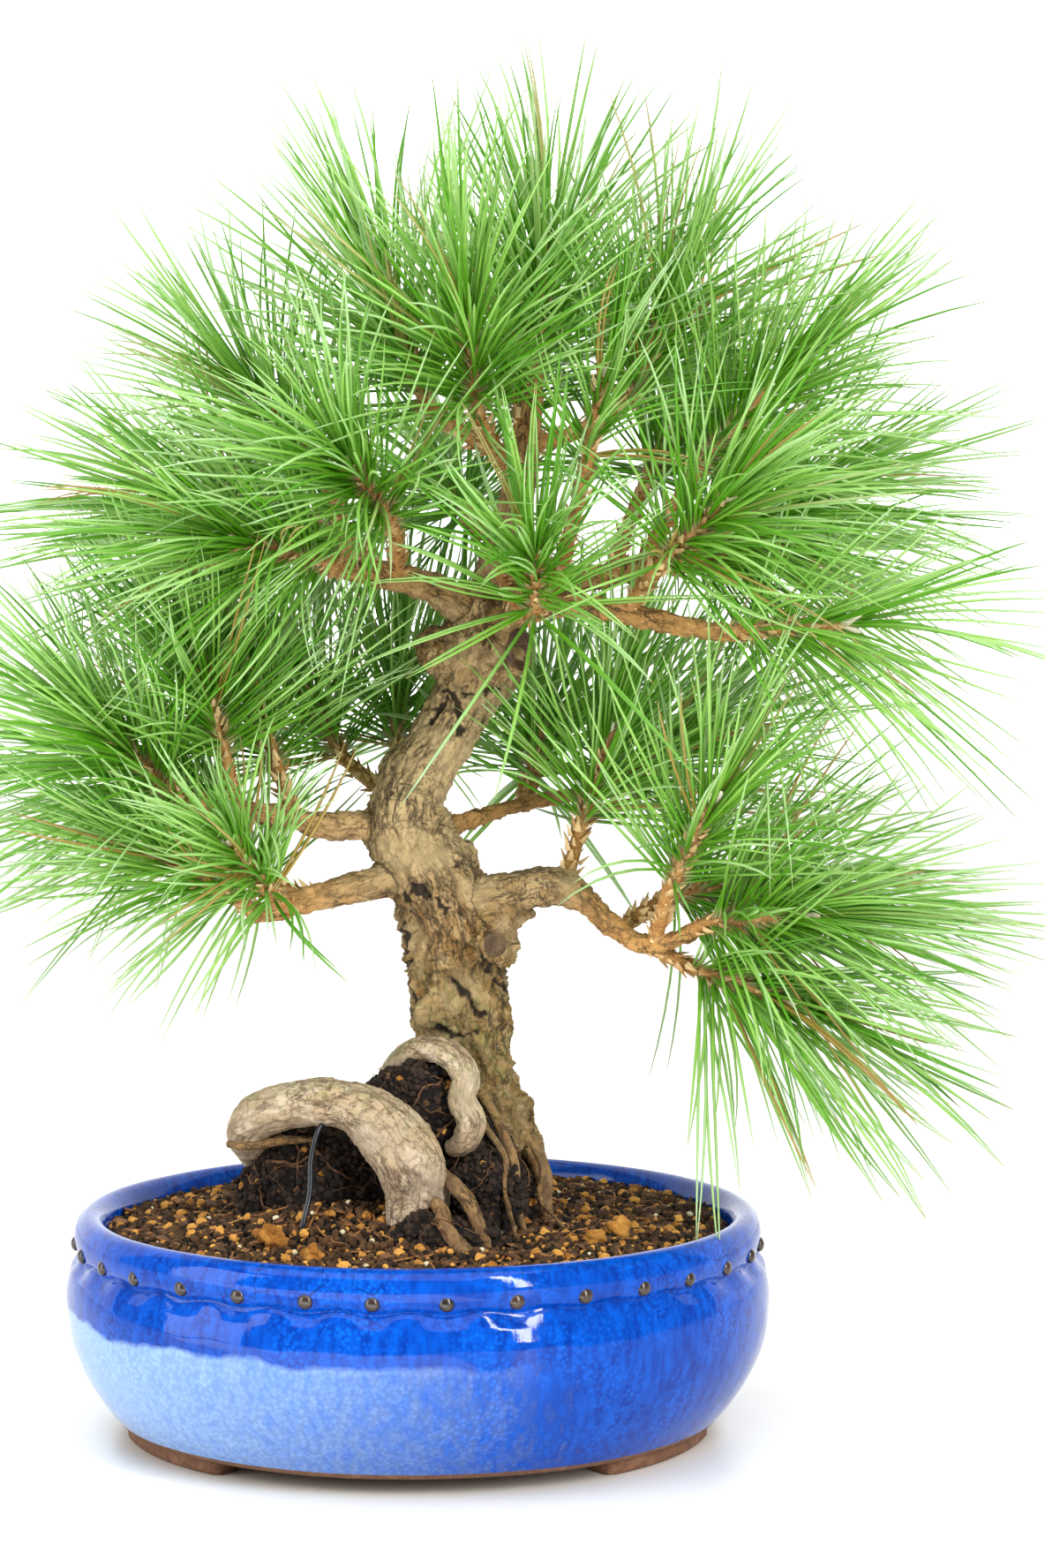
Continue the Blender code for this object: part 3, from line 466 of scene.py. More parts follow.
@dataclass(frozen=True)
class PineBark(Finish):
    """Old pine bark: flakes and fine fissures over dark furrows, warm tan with green and pale tinges."""

    name: str = "pine_bark"
    roughness: float = 0.86
    furrow: str = "#22180F"
    tan: str = "#8C6A38"
    pale: str = "#CBB184"
    grey: str = "#998058"
    ochre: str = "#C08E50"
    moss: str = "#84894A"
    flake_mm: float = 3.0
    fibre_mm: float = 0.8
    fissure_mm: float = 8.0
    crack_mm: float = 6.0
    ragged_mm: float = 3.0  # how far the edges of flakes wander
    lit_bend_mm: float = 229.0  # height of the bend where painted light makes the bark paler
    lit_bend_reach_mm: tuple[float, float] = (46.0, 22.0)  # how far from there the painted light begins, and is at its most
    relief_mm: float = 0.6

    def dress(self, nodes: Nodes, shader: bpy.types.Node) -> None:
        """Colour by plate height and flake, with fissures, and fibres that run along the wood."""
        along = nodes.attribute("grain", "Vector")
        place = nodes.place()
        fibres = nodes.noise(nodes.stretched(along, 0.3), self.fibre_mm, 4.0, 0.65)
        flat = nodes.stretched(along, 0.6)
        broad = nodes.noise(place, 15.0, 4.0)
        fine = nodes.noise(flat, 2.4, 6.0, 0.6)
        push = nodes.scaled(nodes.centred(fine.outputs["Color"]), self.ragged_mm * MM)
        ragged = nodes.vector("ADD", flat, push)
        flakes = nodes.cells(ragged, self.flake_mm).outputs["Color"]
        flake_tone = nodes.add("ShaderNodeSeparateColor", {"Color": flakes}).outputs["Red"]
        away = nodes.math("ABSOLUTE", nodes.math("SUBTRACT", nodes.parts(place)["Z"], self.lit_bend_mm * MM))
        start, end = self.lit_bend_reach_mm
        line = self.fissures(nodes, along)
        crack = nodes.ramp(nodes.cells(ragged, self.crack_mm, "DISTANCE_TO_EDGE"), 0.06, 0.015, 0.9)
        line = nodes.math("MAXIMUM", line, nodes.math("MULTIPLY", crack, nodes.ramp(fine, 0.46, 0.58)))
        line = nodes.math("MULTIPLY", line, nodes.ramp(broad, 0.62, 0.45, least=0.35))
        colour = nodes.mix(nodes.ramp(broad, 0.42, 0.64), self.tan, self.grey)
        for share, paint in (
            # painted light: the bark is made paler round the bend, where light falls on it
            (nodes.ramp(away, start * MM, end * MM, 0.62), self.pale),
            (nodes.ramp(flake_tone, 0.4, 1.0, 0.5), self.pale),
            (nodes.math("MULTIPLY", nodes.attribute("youth"), 0.85), self.ochre),
            (nodes.ramp(fibres, 0.46, 0.28, 0.45), self.furrow),
            (nodes.math("MULTIPLY", nodes.ramp(fine, 0.45, 0.62, 0.7), nodes.attribute("damp")), self.moss),
            (line, self.furrow),
            (nodes.ramp(nodes.attribute("plate"), 0.42, 0.1, 0.95), self.furrow),
        ):
            colour = nodes.mix(share, colour, paint)
        nodes.feed(colour, shader.inputs["Base Color"])
        bump = None
        reliefs = ((flake_tone, 0.6, 1.0), (fibres, 0.8, 0.7), (fine, 0.8, 2.0), (line, -1.0, 1.0))
        for height, strength, share in reliefs:
            bump = nodes.bump(height, strength, self.relief_mm * MM * share, bump)
        nodes.feed(bump, shader.inputs["Normal"])

    def fissures(self, nodes: Nodes, along: bpy.types.NodeSocket) -> bpy.types.Node:
        """Hair-fine fissures that wander along the wood and across it."""
        lines = []
        for squeeze, width, most in ((0.3, 0.042, 0.95), (1.5, 0.03, 0.8)):
            wander = nodes.noise(nodes.stretched(along, squeeze), self.fissure_mm, 7.0, 0.62)
            off = nodes.math("ABSOLUTE", nodes.math("SUBTRACT", wander, 0.5))
            lines.append(nodes.ramp(off, width, 0.0, most))
        return nodes.math("MAXIMUM", *lines)


@dataclass(frozen=True)
class NeedleSkin(Finish):
    """Pine needles: waxy green, pale in the sheath, straw-coloured at the tip, a few gone brown."""

    name: str = "pine_needle"
    roughness: float = 0.36
    ior: float = 1.5
    sheath: str = "#CFC391"
    fresh: str = "#AAE046"
    # pale bluish bloom of some needles, with a painted highlight towards the tip
    bloom_and_highlight: str = "#C8E4B8"
    # deep green of some needles at random, and the painted shade near the stem inside the tuft
    shade: str = "#5AA80A"
    tip: str = "#D2CB86"
    dead: str = "#C39A50"
    glow: float = 0.34  # share of the light that passes through a needle

    def dress(self, nodes: Nodes, shader: bpy.types.Node) -> None:
        """Colour along the needle, with painted shade near the stem and a painted highlight towards the tip,
        and by needle.
        """
        along, tone = nodes.attribute("along"), nodes.attribute("tone")
        # deep green by needle at random, and painted shade towards the stem, inside the tuft
        deep_tone_and_shade = nodes.math("MAXIMUM", nodes.ramp(tone, 0.5, 0.1, 0.9), nodes.ramp(along, 0.6, 0.08, 0.9))
        colour = nodes.mix(deep_tone_and_shade, self.fresh, self.shade)
        for share, paint in (
            # waxy bloom on some needles, with a painted highlight growing towards the tip
            (nodes.math("MULTIPLY", nodes.ramp(along, 0.15, 0.9), tone), self.bloom_and_highlight),
            (nodes.ramp(tone, 0.968, 0.985, 0.85), self.dead),
            (nodes.ramp(along, 0.1, 0.04, 0.9), self.sheath),
            (nodes.ramp(along, 0.93, 1.0, 0.8), self.tip),
        ):
            colour = nodes.mix(share, colour, paint)
        nodes.feed(colour, shader.inputs["Base Color"])
        through = nodes.add("ShaderNodeBsdfTranslucent", {"Color": colour})
        both = nodes.add("ShaderNodeMixShader", {0: self.glow, 1: shader, 2: through})
        nodes.feed(both, nodes.tree.nodes["Material Output"].inputs["Surface"])


GLAZE = BlueGlaze()
BARK = PineBark()
NEEDLE = NeedleSkin()
# Bare stoneware, unglazed under the pot: fired biscuit, toasted brown, slightly rough
BARE_CLAY = GrainyEarth(
    "bare_stoneware", 0.85, dark="#5E3E2A", middle="#8A6248", light="#A98163", relief_mm=0.15,
)
# Clay buttons dipped in iron wash: dark brown, with a thin skin of glaze
IRON_CLAY = GrainyEarth(
    "iron_clay", 0.3, coat=0.6, dark="#0C0806", middle="#20140C", light="#3C2818", relief_mm=0.1,
)
# Moss peat, packed and damp: nearly black, fibrous, matt
PEAT = GrainyEarth(
    "damp_peat", 0.97, dark="#070403", middle="#170E09", light="#36241A", grain_mm=1.2, relief_mm=0.9,
)
# Peat broken to crumbs and dried on top: dark brown with paler flecks
CRUMB = GrainyEarth("peat_crumb", 0.97, dark="#070402", middle="#20140C", light="#5C4026", grain_mm=0.8)
# Peat crumbs kept wet in the root mass: blacker, with a dull gleam
DARK_CRUMB = GrainyEarth(
    "wet_peat_crumb", 0.9, dark="#080503", middle="#170F0A", light="#36261A", grain_mm=0.8,
)
# Akadama, a fired volcanic clay: ochre to orange-brown, dusty
FIRED_CLAY = GrainyEarth(
    "akadama_clay", 0.95, dark="#6A3F14", middle="#AE7226", light="#DFA24C", relief_mm=0.5,
)
# Pumice, crushed and sieved: foamy volcanic glass, cream
PUMICE = GrainyEarth("pumice", 0.95, dark="#B5A27A", middle="#DCCDA4", light="#F4EBCB", relief_mm=0.3)
# Pine bark, composted and chipped: flat, red-brown to black
BARK_CHIP = GrainyEarth("bark_chip", 0.9, dark="#25170F", middle="#4F3220", light="#845A38", relief_mm=0.3)
# Fallen needles, dried where they lie: straw to rust, faintly shiny
STRAW = GrainyEarth("fallen_needle", 0.7, dark="#7A4A22", middle="#A8703A", light="#C9A05C", relief_mm=0.05)
# Root hair, washed bare by watering: fine wiry roots, orange-brown
ROOTLET = GrainyEarth("rootlet", 0.8, dark="#3A2416", middle="#6E4A2C", light="#A2764A", relief_mm=0.1)
# End grain of a cut limb, sawn and weathered: grey-brown rings
SAWN = GrainyEarth(
    "sawn_end_grain", 0.9, dark="#33261C", middle="#584432", light="#7A6248", grain_mm=0.7, patch_mm=3.0
)
# Wood drawn in at a healed cut: dark, resinous
HEALED = GrainyEarth(
    "healed_cut", 0.6, dark="#1E1410", middle="#3E2A20", light="#6A4A38", grain_mm=1.0, patch_mm=3.0,
)
# Young shoots, rough with the scales of fallen needles: orange-brown
SHOOT_BARK = GrainyEarth("shoot_bark", 0.85, dark="#8A5C2C", middle="#BE8E50", light="#E6C792", relief_mm=0.3)
# Winter buds in their papery scales: silky white
BUD = GrainyEarth("winter_bud", 0.6, dark="#B59A6C", middle="#DCCBA2", light="#F3EBD6", relief_mm=0.1)
# Polythene net, moulded: black and slightly shiny
NET_PLASTIC = GrainyEarth(
    "polythene_net", 0.45, dark="#0C0C0D", middle="#161718", light="#232425", relief_mm=0.05,
)
# Tie wire drawn through a PVC coat: blue-black, smooth
WIRE_COAT = GrainyEarth(
    "pvc_coating", 0.35, coat=0.3, dark="#05080E", middle="#0B121E", light="#182638", relief_mm=0.03
)
# Older roots that hold up the trunk, with wet peat rubbed into the bark: brown
PROP_BARK = PineBark(
    "prop_root_bark", 0.85, furrow="#24170E", tan="#8A673C", pale="#B08E5C", grey="#7C6044", relief_mm=0.4
)
# Root bark, exposed by weather: smoother and paler than the trunk's, finely cracked
ROOT_BARK = PineBark(
    "root_bark", 0.82, furrow="#4E3B28", tan="#B49B7C", pale="#DACAB2", grey="#B09C84", flake_mm=4.5,
    relief_mm=0.35,
)


# ------------------------------------------------------------------ geometry node trees


class Recipe(Nodes):
    """A Geometry Nodes tree with named inputs, built once and run on any carrier mesh."""

    name: str = "recipe"
    inputs: dict[str, str] = {}

    def __init__(self) -> None:
        """Build the tree: its interface, then its nodes."""
        super().__init__(bpy.data.node_groups.new(self.name, "GeometryNodeTree"))
        sockets = self.tree.interface
        sockets.new_socket("Geometry", in_out="INPUT", socket_type="NodeSocketGeometry")
        for label, kind in self.inputs.items():
            sockets.new_socket(label, in_out="INPUT", socket_type=f"NodeSocket{kind}")
        sockets.new_socket("Geometry", in_out="OUTPUT", socket_type="NodeSocketGeometry")
        self.given = self.add("NodeGroupInput").outputs
        self.add("NodeGroupOutput", {"Geometry": self.build()})

    def build(self) -> bpy.types.Node:
        """Add the tree's nodes and return the last one."""
        raise NotImplementedError

    def random(self, low: float, high: float, salt: int) -> bpy.types.Node:
        """A random number for each element, which the tree's own seed and a salt settle."""
        seed = self.math("ADD", self.given["Seed"], float(salt))
        return self.add("FunctionNodeRandomValue", {"Min": low, "Max": high, "Seed": seed}, data_type="FLOAT")

    def stored(self, name: str) -> bpy.types.Node:
        """What the carrier stores under a name."""
        return self.add("GeometryNodeInputNamedAttribute", {"Name": name}, data_type="FLOAT")

    def above(self, value: Given, least: Given) -> bpy.types.Node:
        """Whether a number is greater than another."""
        kind = {"data_type": "FLOAT", "operation": "GREATER_THAN"}
        return self.add("FunctionNodeCompare", {"A": value, "B": least}, **kind)

    def turned(self, axis: Point, angle: Given) -> bpy.types.Node:
        """A rotation about an axis."""
        return self.add("FunctionNodeAxisAngleToRotation", {"Axis": axis, "Angle": angle})

    def curve_of(self, geometry: Given) -> bpy.types.Node:
        """Chains of edges as curves."""
        return self.add("GeometryNodeMeshToCurve", {"Mesh": geometry})

    def tube(self, line: Given, sides: Given, radius: Given) -> bpy.types.Node:
        """A capped tube along a curve."""
        ring = self.add("GeometryNodeCurvePrimitiveCircle", {"Resolution": sides, "Radius": 1.0})
        values = {"Curve": line, "Profile Curve": ring, "Scale": radius, "Fill Caps": True}
        return self.add("GeometryNodeCurveToMesh", values)

    def moved(self, geometry: Given, **values: Given) -> bpy.types.Node:
        """Geometry with a Translation, Rotation or Scale of its own."""
        return self.add("GeometryNodeTransform", {"Geometry": geometry, **values})

    def shifted(self, geometry: Given, offset: Given) -> bpy.types.Node:
        """Geometry with each of its points moved."""
        return self.add("GeometryNodeSetPosition", {"Geometry": geometry, "Offset": offset})

    def planted(self, salt: int, **values: Given) -> bpy.types.Node:
        """An Instance on each of the Points, with a random tone of its own."""
        named = {key.replace("_", " "): value for key, value in values.items()}
        spots = self.add("GeometryNodeInstanceOnPoints", named)
        links = {"Geometry": spots, "Name": "tone", "Value": self.random(0.0, 1.0, salt)}
        return self.add("GeometryNodeStoreNamedAttribute", links, data_type="FLOAT", domain="INSTANCE")

    def realized(self, geometry: Given) -> bpy.types.Node:
        """Instances made into geometry of their own."""
        return self.add("GeometryNodeRealizeInstances", {"Geometry": geometry})

    def finished(self, geometry: Given, material: str, smooth: bool = True) -> bpy.types.Node:
        """Geometry with the material of one of the tree's inputs."""
        if smooth:
            geometry = self.add("GeometryNodeSetShadeSmooth", {"Geometry": geometry})
        return self.add("GeometryNodeSetMaterial", {"Geometry": geometry, "Material": self.given[material]})

    def together(self, *pieces: bpy.types.Node) -> bpy.types.Node:
        """Several pieces of geometry as one."""
        whole = self.add("GeometryNodeJoinGeometry")
        for piece in pieces:
            self.feed(piece, whole.inputs[0])
        return whole

    def run(self, mesh: bpy.types.Mesh, **values: object) -> bpy.types.Mesh:
        """Run the tree on a mesh.

        Args:
            mesh: What the tree starts from.
            **values: The inputs, by name, with _ for each space.

        Returns:
            The mesh that the tree makes.
        """
        obj = carrier(f"{self.name}_carrier", mesh)
        modifier = obj.modifiers.new(self.name, "NODES")
        modifier.node_group = self.tree
        wanted = {key.replace("_", " "): value for key, value in values.items()}
        for item in self.tree.interface.items_tree:
            if item.in_out == "INPUT" and item.name in wanted:
                modifier[item.identifier] = wanted.pop(item.name)
        if wanted:
            raise KeyError(f"{self.name} has no input named {sorted(wanted)}")
        return evaluated(obj)


class StrandRecipe(Recipe):
    """Turns chains of edges into round strands, as thick as their own radius attribute says."""

    name = "strands"
    inputs = {"Sides": "Int", "Material": "Material"}

    def build(self) -> bpy.types.Node:
        """Chains to curves, curves to capped tubes."""
        line = self.curve_of(self.given["Geometry"])
        return self.finished(self.tube(line, self.given["Sides"], self.stored("radius")), "Material")


class ShootRecipe(Recipe):
    """A pine shoot on its stem: bark, the scales of shed needles, paired needles in a spiral, buds."""

    name = "pine_shoot"
    inputs = {
        "Pairs": "Int",
        "Needle length": "Float",
        "Needle radius": "Float",
        "Spread at foot": "Float",
        "Spread at tip": "Float",
        "Curl": "Float",
        "Droop": "Float",
        "Stray": "Float",
        "Stem radius": "Float",
        "Scale spacing": "Float",
        "Seed": "Int",
        "Needle": "Material",
        "Twig": "Material",
        "Bud": "Material",
    }

    def build(self) -> bpy.types.Node:
        """The stem, its scales, the needles and the buds, joined."""
        with_needles = self.above(self.stored("tuft"), 0.5)
        links = {"Geometry": self.given["Geometry"], "Selection": with_needles}
        tuft, stem = self.add("GeometryNodeSeparateGeometry", links, domain="POINT").outputs
        tuft, stem = self.curve_of(tuft), self.curve_of(stem)
        bark = self.finished(self.tube(stem, 8, self.stored("radius")), "Twig")
        return self.realized(self.together(bark, self.scales(stem), self.needles(tuft), self.buds(tuft)))

    def spots(self, line: bpy.types.Node, mode: str, **spacing: Given) -> bpy.types.NodeOutputs:
        """Points along a curve, by Count or by Length."""
        return self.add("GeometryNodeCurveToPoints", {"Curve": line, **spacing}, mode=mode).outputs

    def spiral(self, points: bpy.types.NodeOutputs, lean: Given) -> bpy.types.Node:
        """Turn each point a golden angle from the last, and lean it away from the stem.

        Args:
            points: The points along a stem.
            lean: The angle from the stem's line.

        Returns:
            The rotation for an instance at each point.
        """
        turn = self.math("MULTIPLY", self.add("GeometryNodeInputIndex"), GOLDEN_ANGLE)
        turn = self.math("ADD", turn, self.random(-0.5, 0.5, 11))
        way = points["Rotation"]
        for by in (self.turned((0, 0, 1), turn), self.turned((0, 1, 0), lean)):
            turned = {"Rotation": way, "Rotate By": by}
            way = self.add("FunctionNodeRotateRotation", turned, rotation_space="LOCAL")
        return way

    def scales(self, line: bpy.types.Node) -> bpy.types.Node:
        """The stubs and scales that shed needles leave in a spiral on the bark."""
        points = self.spots(line, "LENGTH", Length=self.given["Scale spacing"])
        size = {"Vertices": 4, "Radius Top": 0.3 * MM, "Radius Bottom": 1.3 * MM, "Depth": 3.6 * MM}
        cone = self.add("GeometryNodeMeshCone", size).outputs["Mesh"]
        reach = self.joined(X=self.given["Stem radius"])
        scale = self.moved(cone, Translation=reach, Rotation=(0, 0.6, 0), Scale=(0.5, 1, 1))
        size = self.random(0.6, 1.25, 3)
        scales = self.planted(
            4, Points=points["Points"], Instance=scale, Rotation=self.spiral(points, 0.0), Scale=size
        )
        return self.finished(scales, "Twig", smooth=False)

    def needle(self) -> bpy.types.Node:
        """One needle up the Z axis: three-sided, curved, drawn to a point."""
        length = self.given["Needle length"]
        line = self.add("GeometryNodeCurvePrimitiveLine", {"Start": (0, 0, 0), "End": self.joined(Z=length)})
        line = self.add("GeometryNodeResampleCurve", {"Curve": line, "Count": 7})
        share = self.add("GeometryNodeSplineParameter").outputs["Factor"]
        links = {"Geometry": line, "Name": "along", "Value": share}
        line = self.add("GeometryNodeStoreNamedAttribute", links, data_type="FLOAT", domain="POINT")
        narrowing = self.math("POWER", share, 5.0)
        width = self.math("MULTIPLY_ADD", narrowing, -0.88, 1.0)
        width = self.math("MULTIPLY", width, self.given["Needle radius"])
        bow = self.math("MULTIPLY", self.math("POWER", share, 2.0), self.given["Curl"])
        line = self.shifted(line, self.joined(X=self.math("MULTIPLY", bow, length)))
        return self.tube(line, 3, width)

    def needles(self, line: bpy.types.Node) -> bpy.types.Node:
        """The needles, two to a sheath, each pair's own way out, length, tone and droop."""
        needle = self.needle()
        pair = self.together(
            *(
                self.moved(needle, Translation=(0.4 * MM * side, 0, 0), Rotation=(0.012 * side, 0.052, turn))
                for side, turn in ((1, 0), (-1, math.pi))
            )
        )
        count = self.given["Pairs"]
        points = self.spots(line, "COUNT", Count=count)
        share = self.math("DIVIDE", self.add("GeometryNodeInputIndex"), count)
        lean = self.between(share, self.given["Spread at foot"], self.given["Spread at tip"])
        lean = self.spiral(points, self.math("ADD", lean, self.random(-0.28, 0.28, 5)))
        size = self.random(0.7, 1.0, 6)
        tuft = self.planted(7, Points=points["Points"], Instance=pair, Rotation=lean, Scale=size)
        tuft = self.realized(tuft)
        bent = self.math("POWER", self.stored("along"), 2.0)
        fall = self.math("MULTIPLY", self.math("MULTIPLY", bent, self.given["Droop"]), -1.0)
        sway = self.add("ShaderNodeTexWhiteNoise", {"W": self.stored("tone")}, noise_dimensions="1D")
        reach = self.math("MULTIPLY", bent, self.given["Stray"])
        sway = self.scaled(self.centred(sway.outputs["Color"]), reach)
        return self.finished(self.shifted(tuft, self.vector("ADD", sway, self.joined(Z=fall))), "Needle")

    def buds(self, line: bpy.types.Node) -> bpy.types.Node:
        """A cluster of pale buds at the shoot's end."""
        end = self.add("GeometryNodeTrimCurve", {"Curve": line, "Start": 0.94, "End": 1.0})
        points = self.spots(end, "COUNT", Count=5)
        ball = self.add("GeometryNodeMeshUVSphere", {"Segments": 7, "Rings": 5, "Radius": 1.0})
        ball = ball.outputs["Mesh"]
        bud = self.moved(ball, Translation=(0, 0, 3.5 * MM), Scale=(1.2 * MM, 1.2 * MM, 4.2 * MM))
        size = self.random(0.6, 1.2, 8)
        cluster = self.planted(
            9, Points=points["Points"], Instance=bud, Rotation=self.spiral(points, 0.45), Scale=size
        )
        return self.finished(cluster, "Bud", smooth=False)


class ScatterRecipe(Recipe):
    """Loose grains on the upward faces of a surface, each a random one of a collection's meshes."""

    name = "scattered_grains"
    inputs = {
        "Grains": "Collection",
        "Spacing": "Float",
        "Density": "Float",
        "Smallest": "Float",
        "Largest": "Float",
        "Tumble": "Float",
        "Lift": "Float",
        "Least rise": "Float",
        "Seed": "Int",
        "Material": "Material",
    }

    def build(self) -> bpy.types.Node:
        """Poisson points, a random grain at each, realized."""
        given = self.given
        rise = self.parts(self.add("GeometryNodeInputNormal"))["Z"]
        values = {
            "Mesh": given["Geometry"],
            "Selection": self.above(rise, given["Least rise"]),
            "Distance Min": given["Spacing"],
            "Density Max": given["Density"],
            "Seed": given["Seed"],
        }
        points = self.add("GeometryNodeDistributePointsOnFaces", values, distribute_method="POISSON")
        points = self.shifted(points, self.joined(Z=given["Lift"]))
        values = {"Collection": given["Grains"], "Separate Children": True, "Reset Children": True}
        grains = self.add("GeometryNodeCollectionInfo", values)
        tilts = [self.math("MULTIPLY", self.random(-3.1, 3.1, salt), given["Tumble"]) for salt in (1, 2)]
        angles = self.joined(X=tilts[0], Y=tilts[1], Z=self.random(-3.1, 3.1, 3))
        placed = self.planted(
            5,
            Points=points,
            Instance=grains,
            Pick_Instance=True,
            Rotation=self.add("FunctionNodeEulerToRotation", {"Euler": angles}),
            Scale=self.between(self.random(0.0, 1.0, 4), given["Smallest"], given["Largest"]),
        )
        return self.finished(self.realized(placed), "Material", smooth=False)


class StudRecipe(Recipe):
    """A ring of domed buttons round an upright axis."""

    name = "stud_ring"
    inputs = {
        "Count": "Int",
        "Ring radius": "Float",
        "Height": "Float",
        "Stud radius": "Float",
        "Proud": "Float",
        "Seed": "Int",
        "Material": "Material",
    }

    def build(self) -> bpy.types.Node:
        """One dome out along X, turned to each place."""
        given = self.given
        ball = self.add("GeometryNodeMeshUVSphere", {"Segments": 20, "Rings": 12, "Radius": 1.0})
        ball = ball.outputs["Mesh"]
        size = self.joined(X=given["Proud"], Y=given["Stud radius"], Z=given["Stud radius"])
        spot = self.joined(X=given["Ring radius"], Z=given["Height"])
        dome = self.moved(ball, Translation=spot, Scale=size)
        seats = self.add("GeometryNodeMeshLine", {"Count": given["Count"], "Offset": (0, 0, 0)})
        step = self.math("DIVIDE", 2 * math.pi, given["Count"])
        turn = self.math("MULTIPLY", self.math("ADD", self.add("GeometryNodeInputIndex"), 0.5), step)
        turn = self.math("ADD", turn, self.random(-0.012, 0.012, 1))
        studs = self.planted(2, Points=seats, Instance=dome, Rotation=self.turned((0, 0, 1), turn))
        return self.finished(self.realized(studs), "Material")


def chains(lines: Sequence[Rows], name: str, tufts: Sequence[float] = ()) -> bpy.types.Mesh:
    """Chains of edges with a radius at each point, for a recipe to start from.

    Args:
        lines: For each chain, rows of x, y, z and radius in metres.
        name: The mesh's name.
        tufts: For each chain, 1 if it carries needles and 0 if not; none does if this is left out.

    Returns:
        The mesh of points and edges.
    """
    edges: list[tuple[int, int]] = []
    first = 0
    for line in lines:
        edges += [(first + k, first + k + 1) for k in range(len(line) - 1)]
        first += len(line)
    rows = np.concatenate(lines)
    mesh = drawn(name, rows[:, :3].tolist(), edges)
    write_attribute(mesh, "radius", rows[:, 3])
    write_attribute(mesh, "tuft", np.repeat(tufts or [0.0] * len(lines), [len(line) for line in lines]))
    return mesh


# ------------------------------------------------------------------ where the wood goes

# Each route is x, y, z and radius in mm, from its thick end
TRUNK: Route = [
    (23, 5, 58, 21), (22, 5, 88, 22), (19.5, 5, 108, 19.6), (17, 3, 128, 17.4), (15, 2, 146, 17.2),
    (13.5, 0, 164, 17.2), (11, -2, 181, 17.6), (5, -3, 196, 17), (-2, -4, 209, 15.8),
    (-4, -4, 219, 14.3), (-1, -2, 231, 12.6), (8, 0, 245, 11.6), (15, 2, 257, 11.4),
    (19, 3, 266, 14.2), (22, 4, 276, 15.8), (23, 5, 286, 13), (24, 6, 295, 9.5),
]
# A sawn limb and a healed cut: where each starts, where its face is, and its radius
STUB: tuple[Point, Point, float] = ((19, -4, 173), (27.2, -21.4, 174.4), 6.3)
SCAR: tuple[Point, Point, float] = ((24, 1, 276), (35.4, -10.4, 276.8), 8.4)
# Deep gashes between plates of the trunk's bark: a line in mm, and how wide
GASHES: list[tuple[list[Point], float]] = [
    ([(13.5, -8, 261.8), (14.4, -8, 255.2), (15.4, -8, 248.4)], 1.9),
    ([(4.8, -8, 251.2), (8.5, -8, 256.8), (11.6, -8, 261.8)], 1.4),
    ([(4.8, -8, 263.9), (16.3, -8, 261.1), (29, -8, 261.8)], 1.2),
    ([(-5.5, -20, 189.3), (0, -20, 194), (5.6, -20, 190.2), (10.8, -20, 186.2)], 2.1),
    ([(-5.8, -12, 179.8), (-3.3, -12, 163.9), (-0.2, -12, 147.6)], 1.7),
    ([(12.6, -15, 161.4), (17.8, -15, 154.9), (23.1, -15, 148)], 1.6),
    ([(20.3, -16, 171.5), (27.1, -16, 164.4), (30.8, -16, 155.9)], 1.4),
    ([(4.8, -14, 143.8), (13.1, -14, 141.7), (21.2, -14, 142)], 1.1),
    ([(22, 12, 200), (26, 14, 180), (24, 16, 160)], 1.2),
    ([(8, 18, 150), (14, 20, 130), (10, 22, 110)], 1.3),
    ([(-6, 8, 240), (4, 10, 228), (2, 11, 214)], 1.0),
]
# Swellings where wood has grown over old cuts: centre and radius
KNOBS: list[tuple[Point, float]] = [
    ((7, -4, 276), 8.5), ((12, -7, 262), 6.0), ((-3, -12, 213), 7.5), ((24, -6, 268), 6.5),
    ((2, -8, 186), 9.0), ((20, -8, 120), 9.0), ((8, -12, 150), 8.0), ((31, -4, 112), 10.0),
    ((34, -4, 102), 9.0), ((26, -6, 128), 9.0), ((26, -11, 181), 9.5), ((30, -12, 172), 7.0),
    ((36, -11, 183), 3.6), ((40, -11, 184), 1.9),
]

ROOTS: dict[str, Route] = {
    "root_left": [
        (-44, 10, 62, 3.4), (-50, 2, 82, 4.2), (-57, -12, 100, 6.4), (-58.5, -27, 111, 8.0),
        (-49, -36, 118, 8.4), (-35, -41, 121.5, 8.5), (-21, -44, 120.5, 9.2), (-10, -46, 113, 11.4),
        (-2, -48, 103, 12.6), (1, -49, 92, 11.6), (-1, -50, 79, 9.6), (-4, -50, 62, 9.6),
    ],
    "root_arch": [
        (-14, -8, 108, 4), (-11, -13, 122, 4.6), (-5, -20, 133, 4.9), (4, -28, 138.5, 5.0),
        (12.5, -35, 137, 5.2), (17.5, -39, 130.5, 5.0), (16.2, -41, 123, 5.0), (19.5, -42, 115, 5.4),
        (17, -41, 108, 4.8), (12, -38, 105, 3.0),
    ],
}
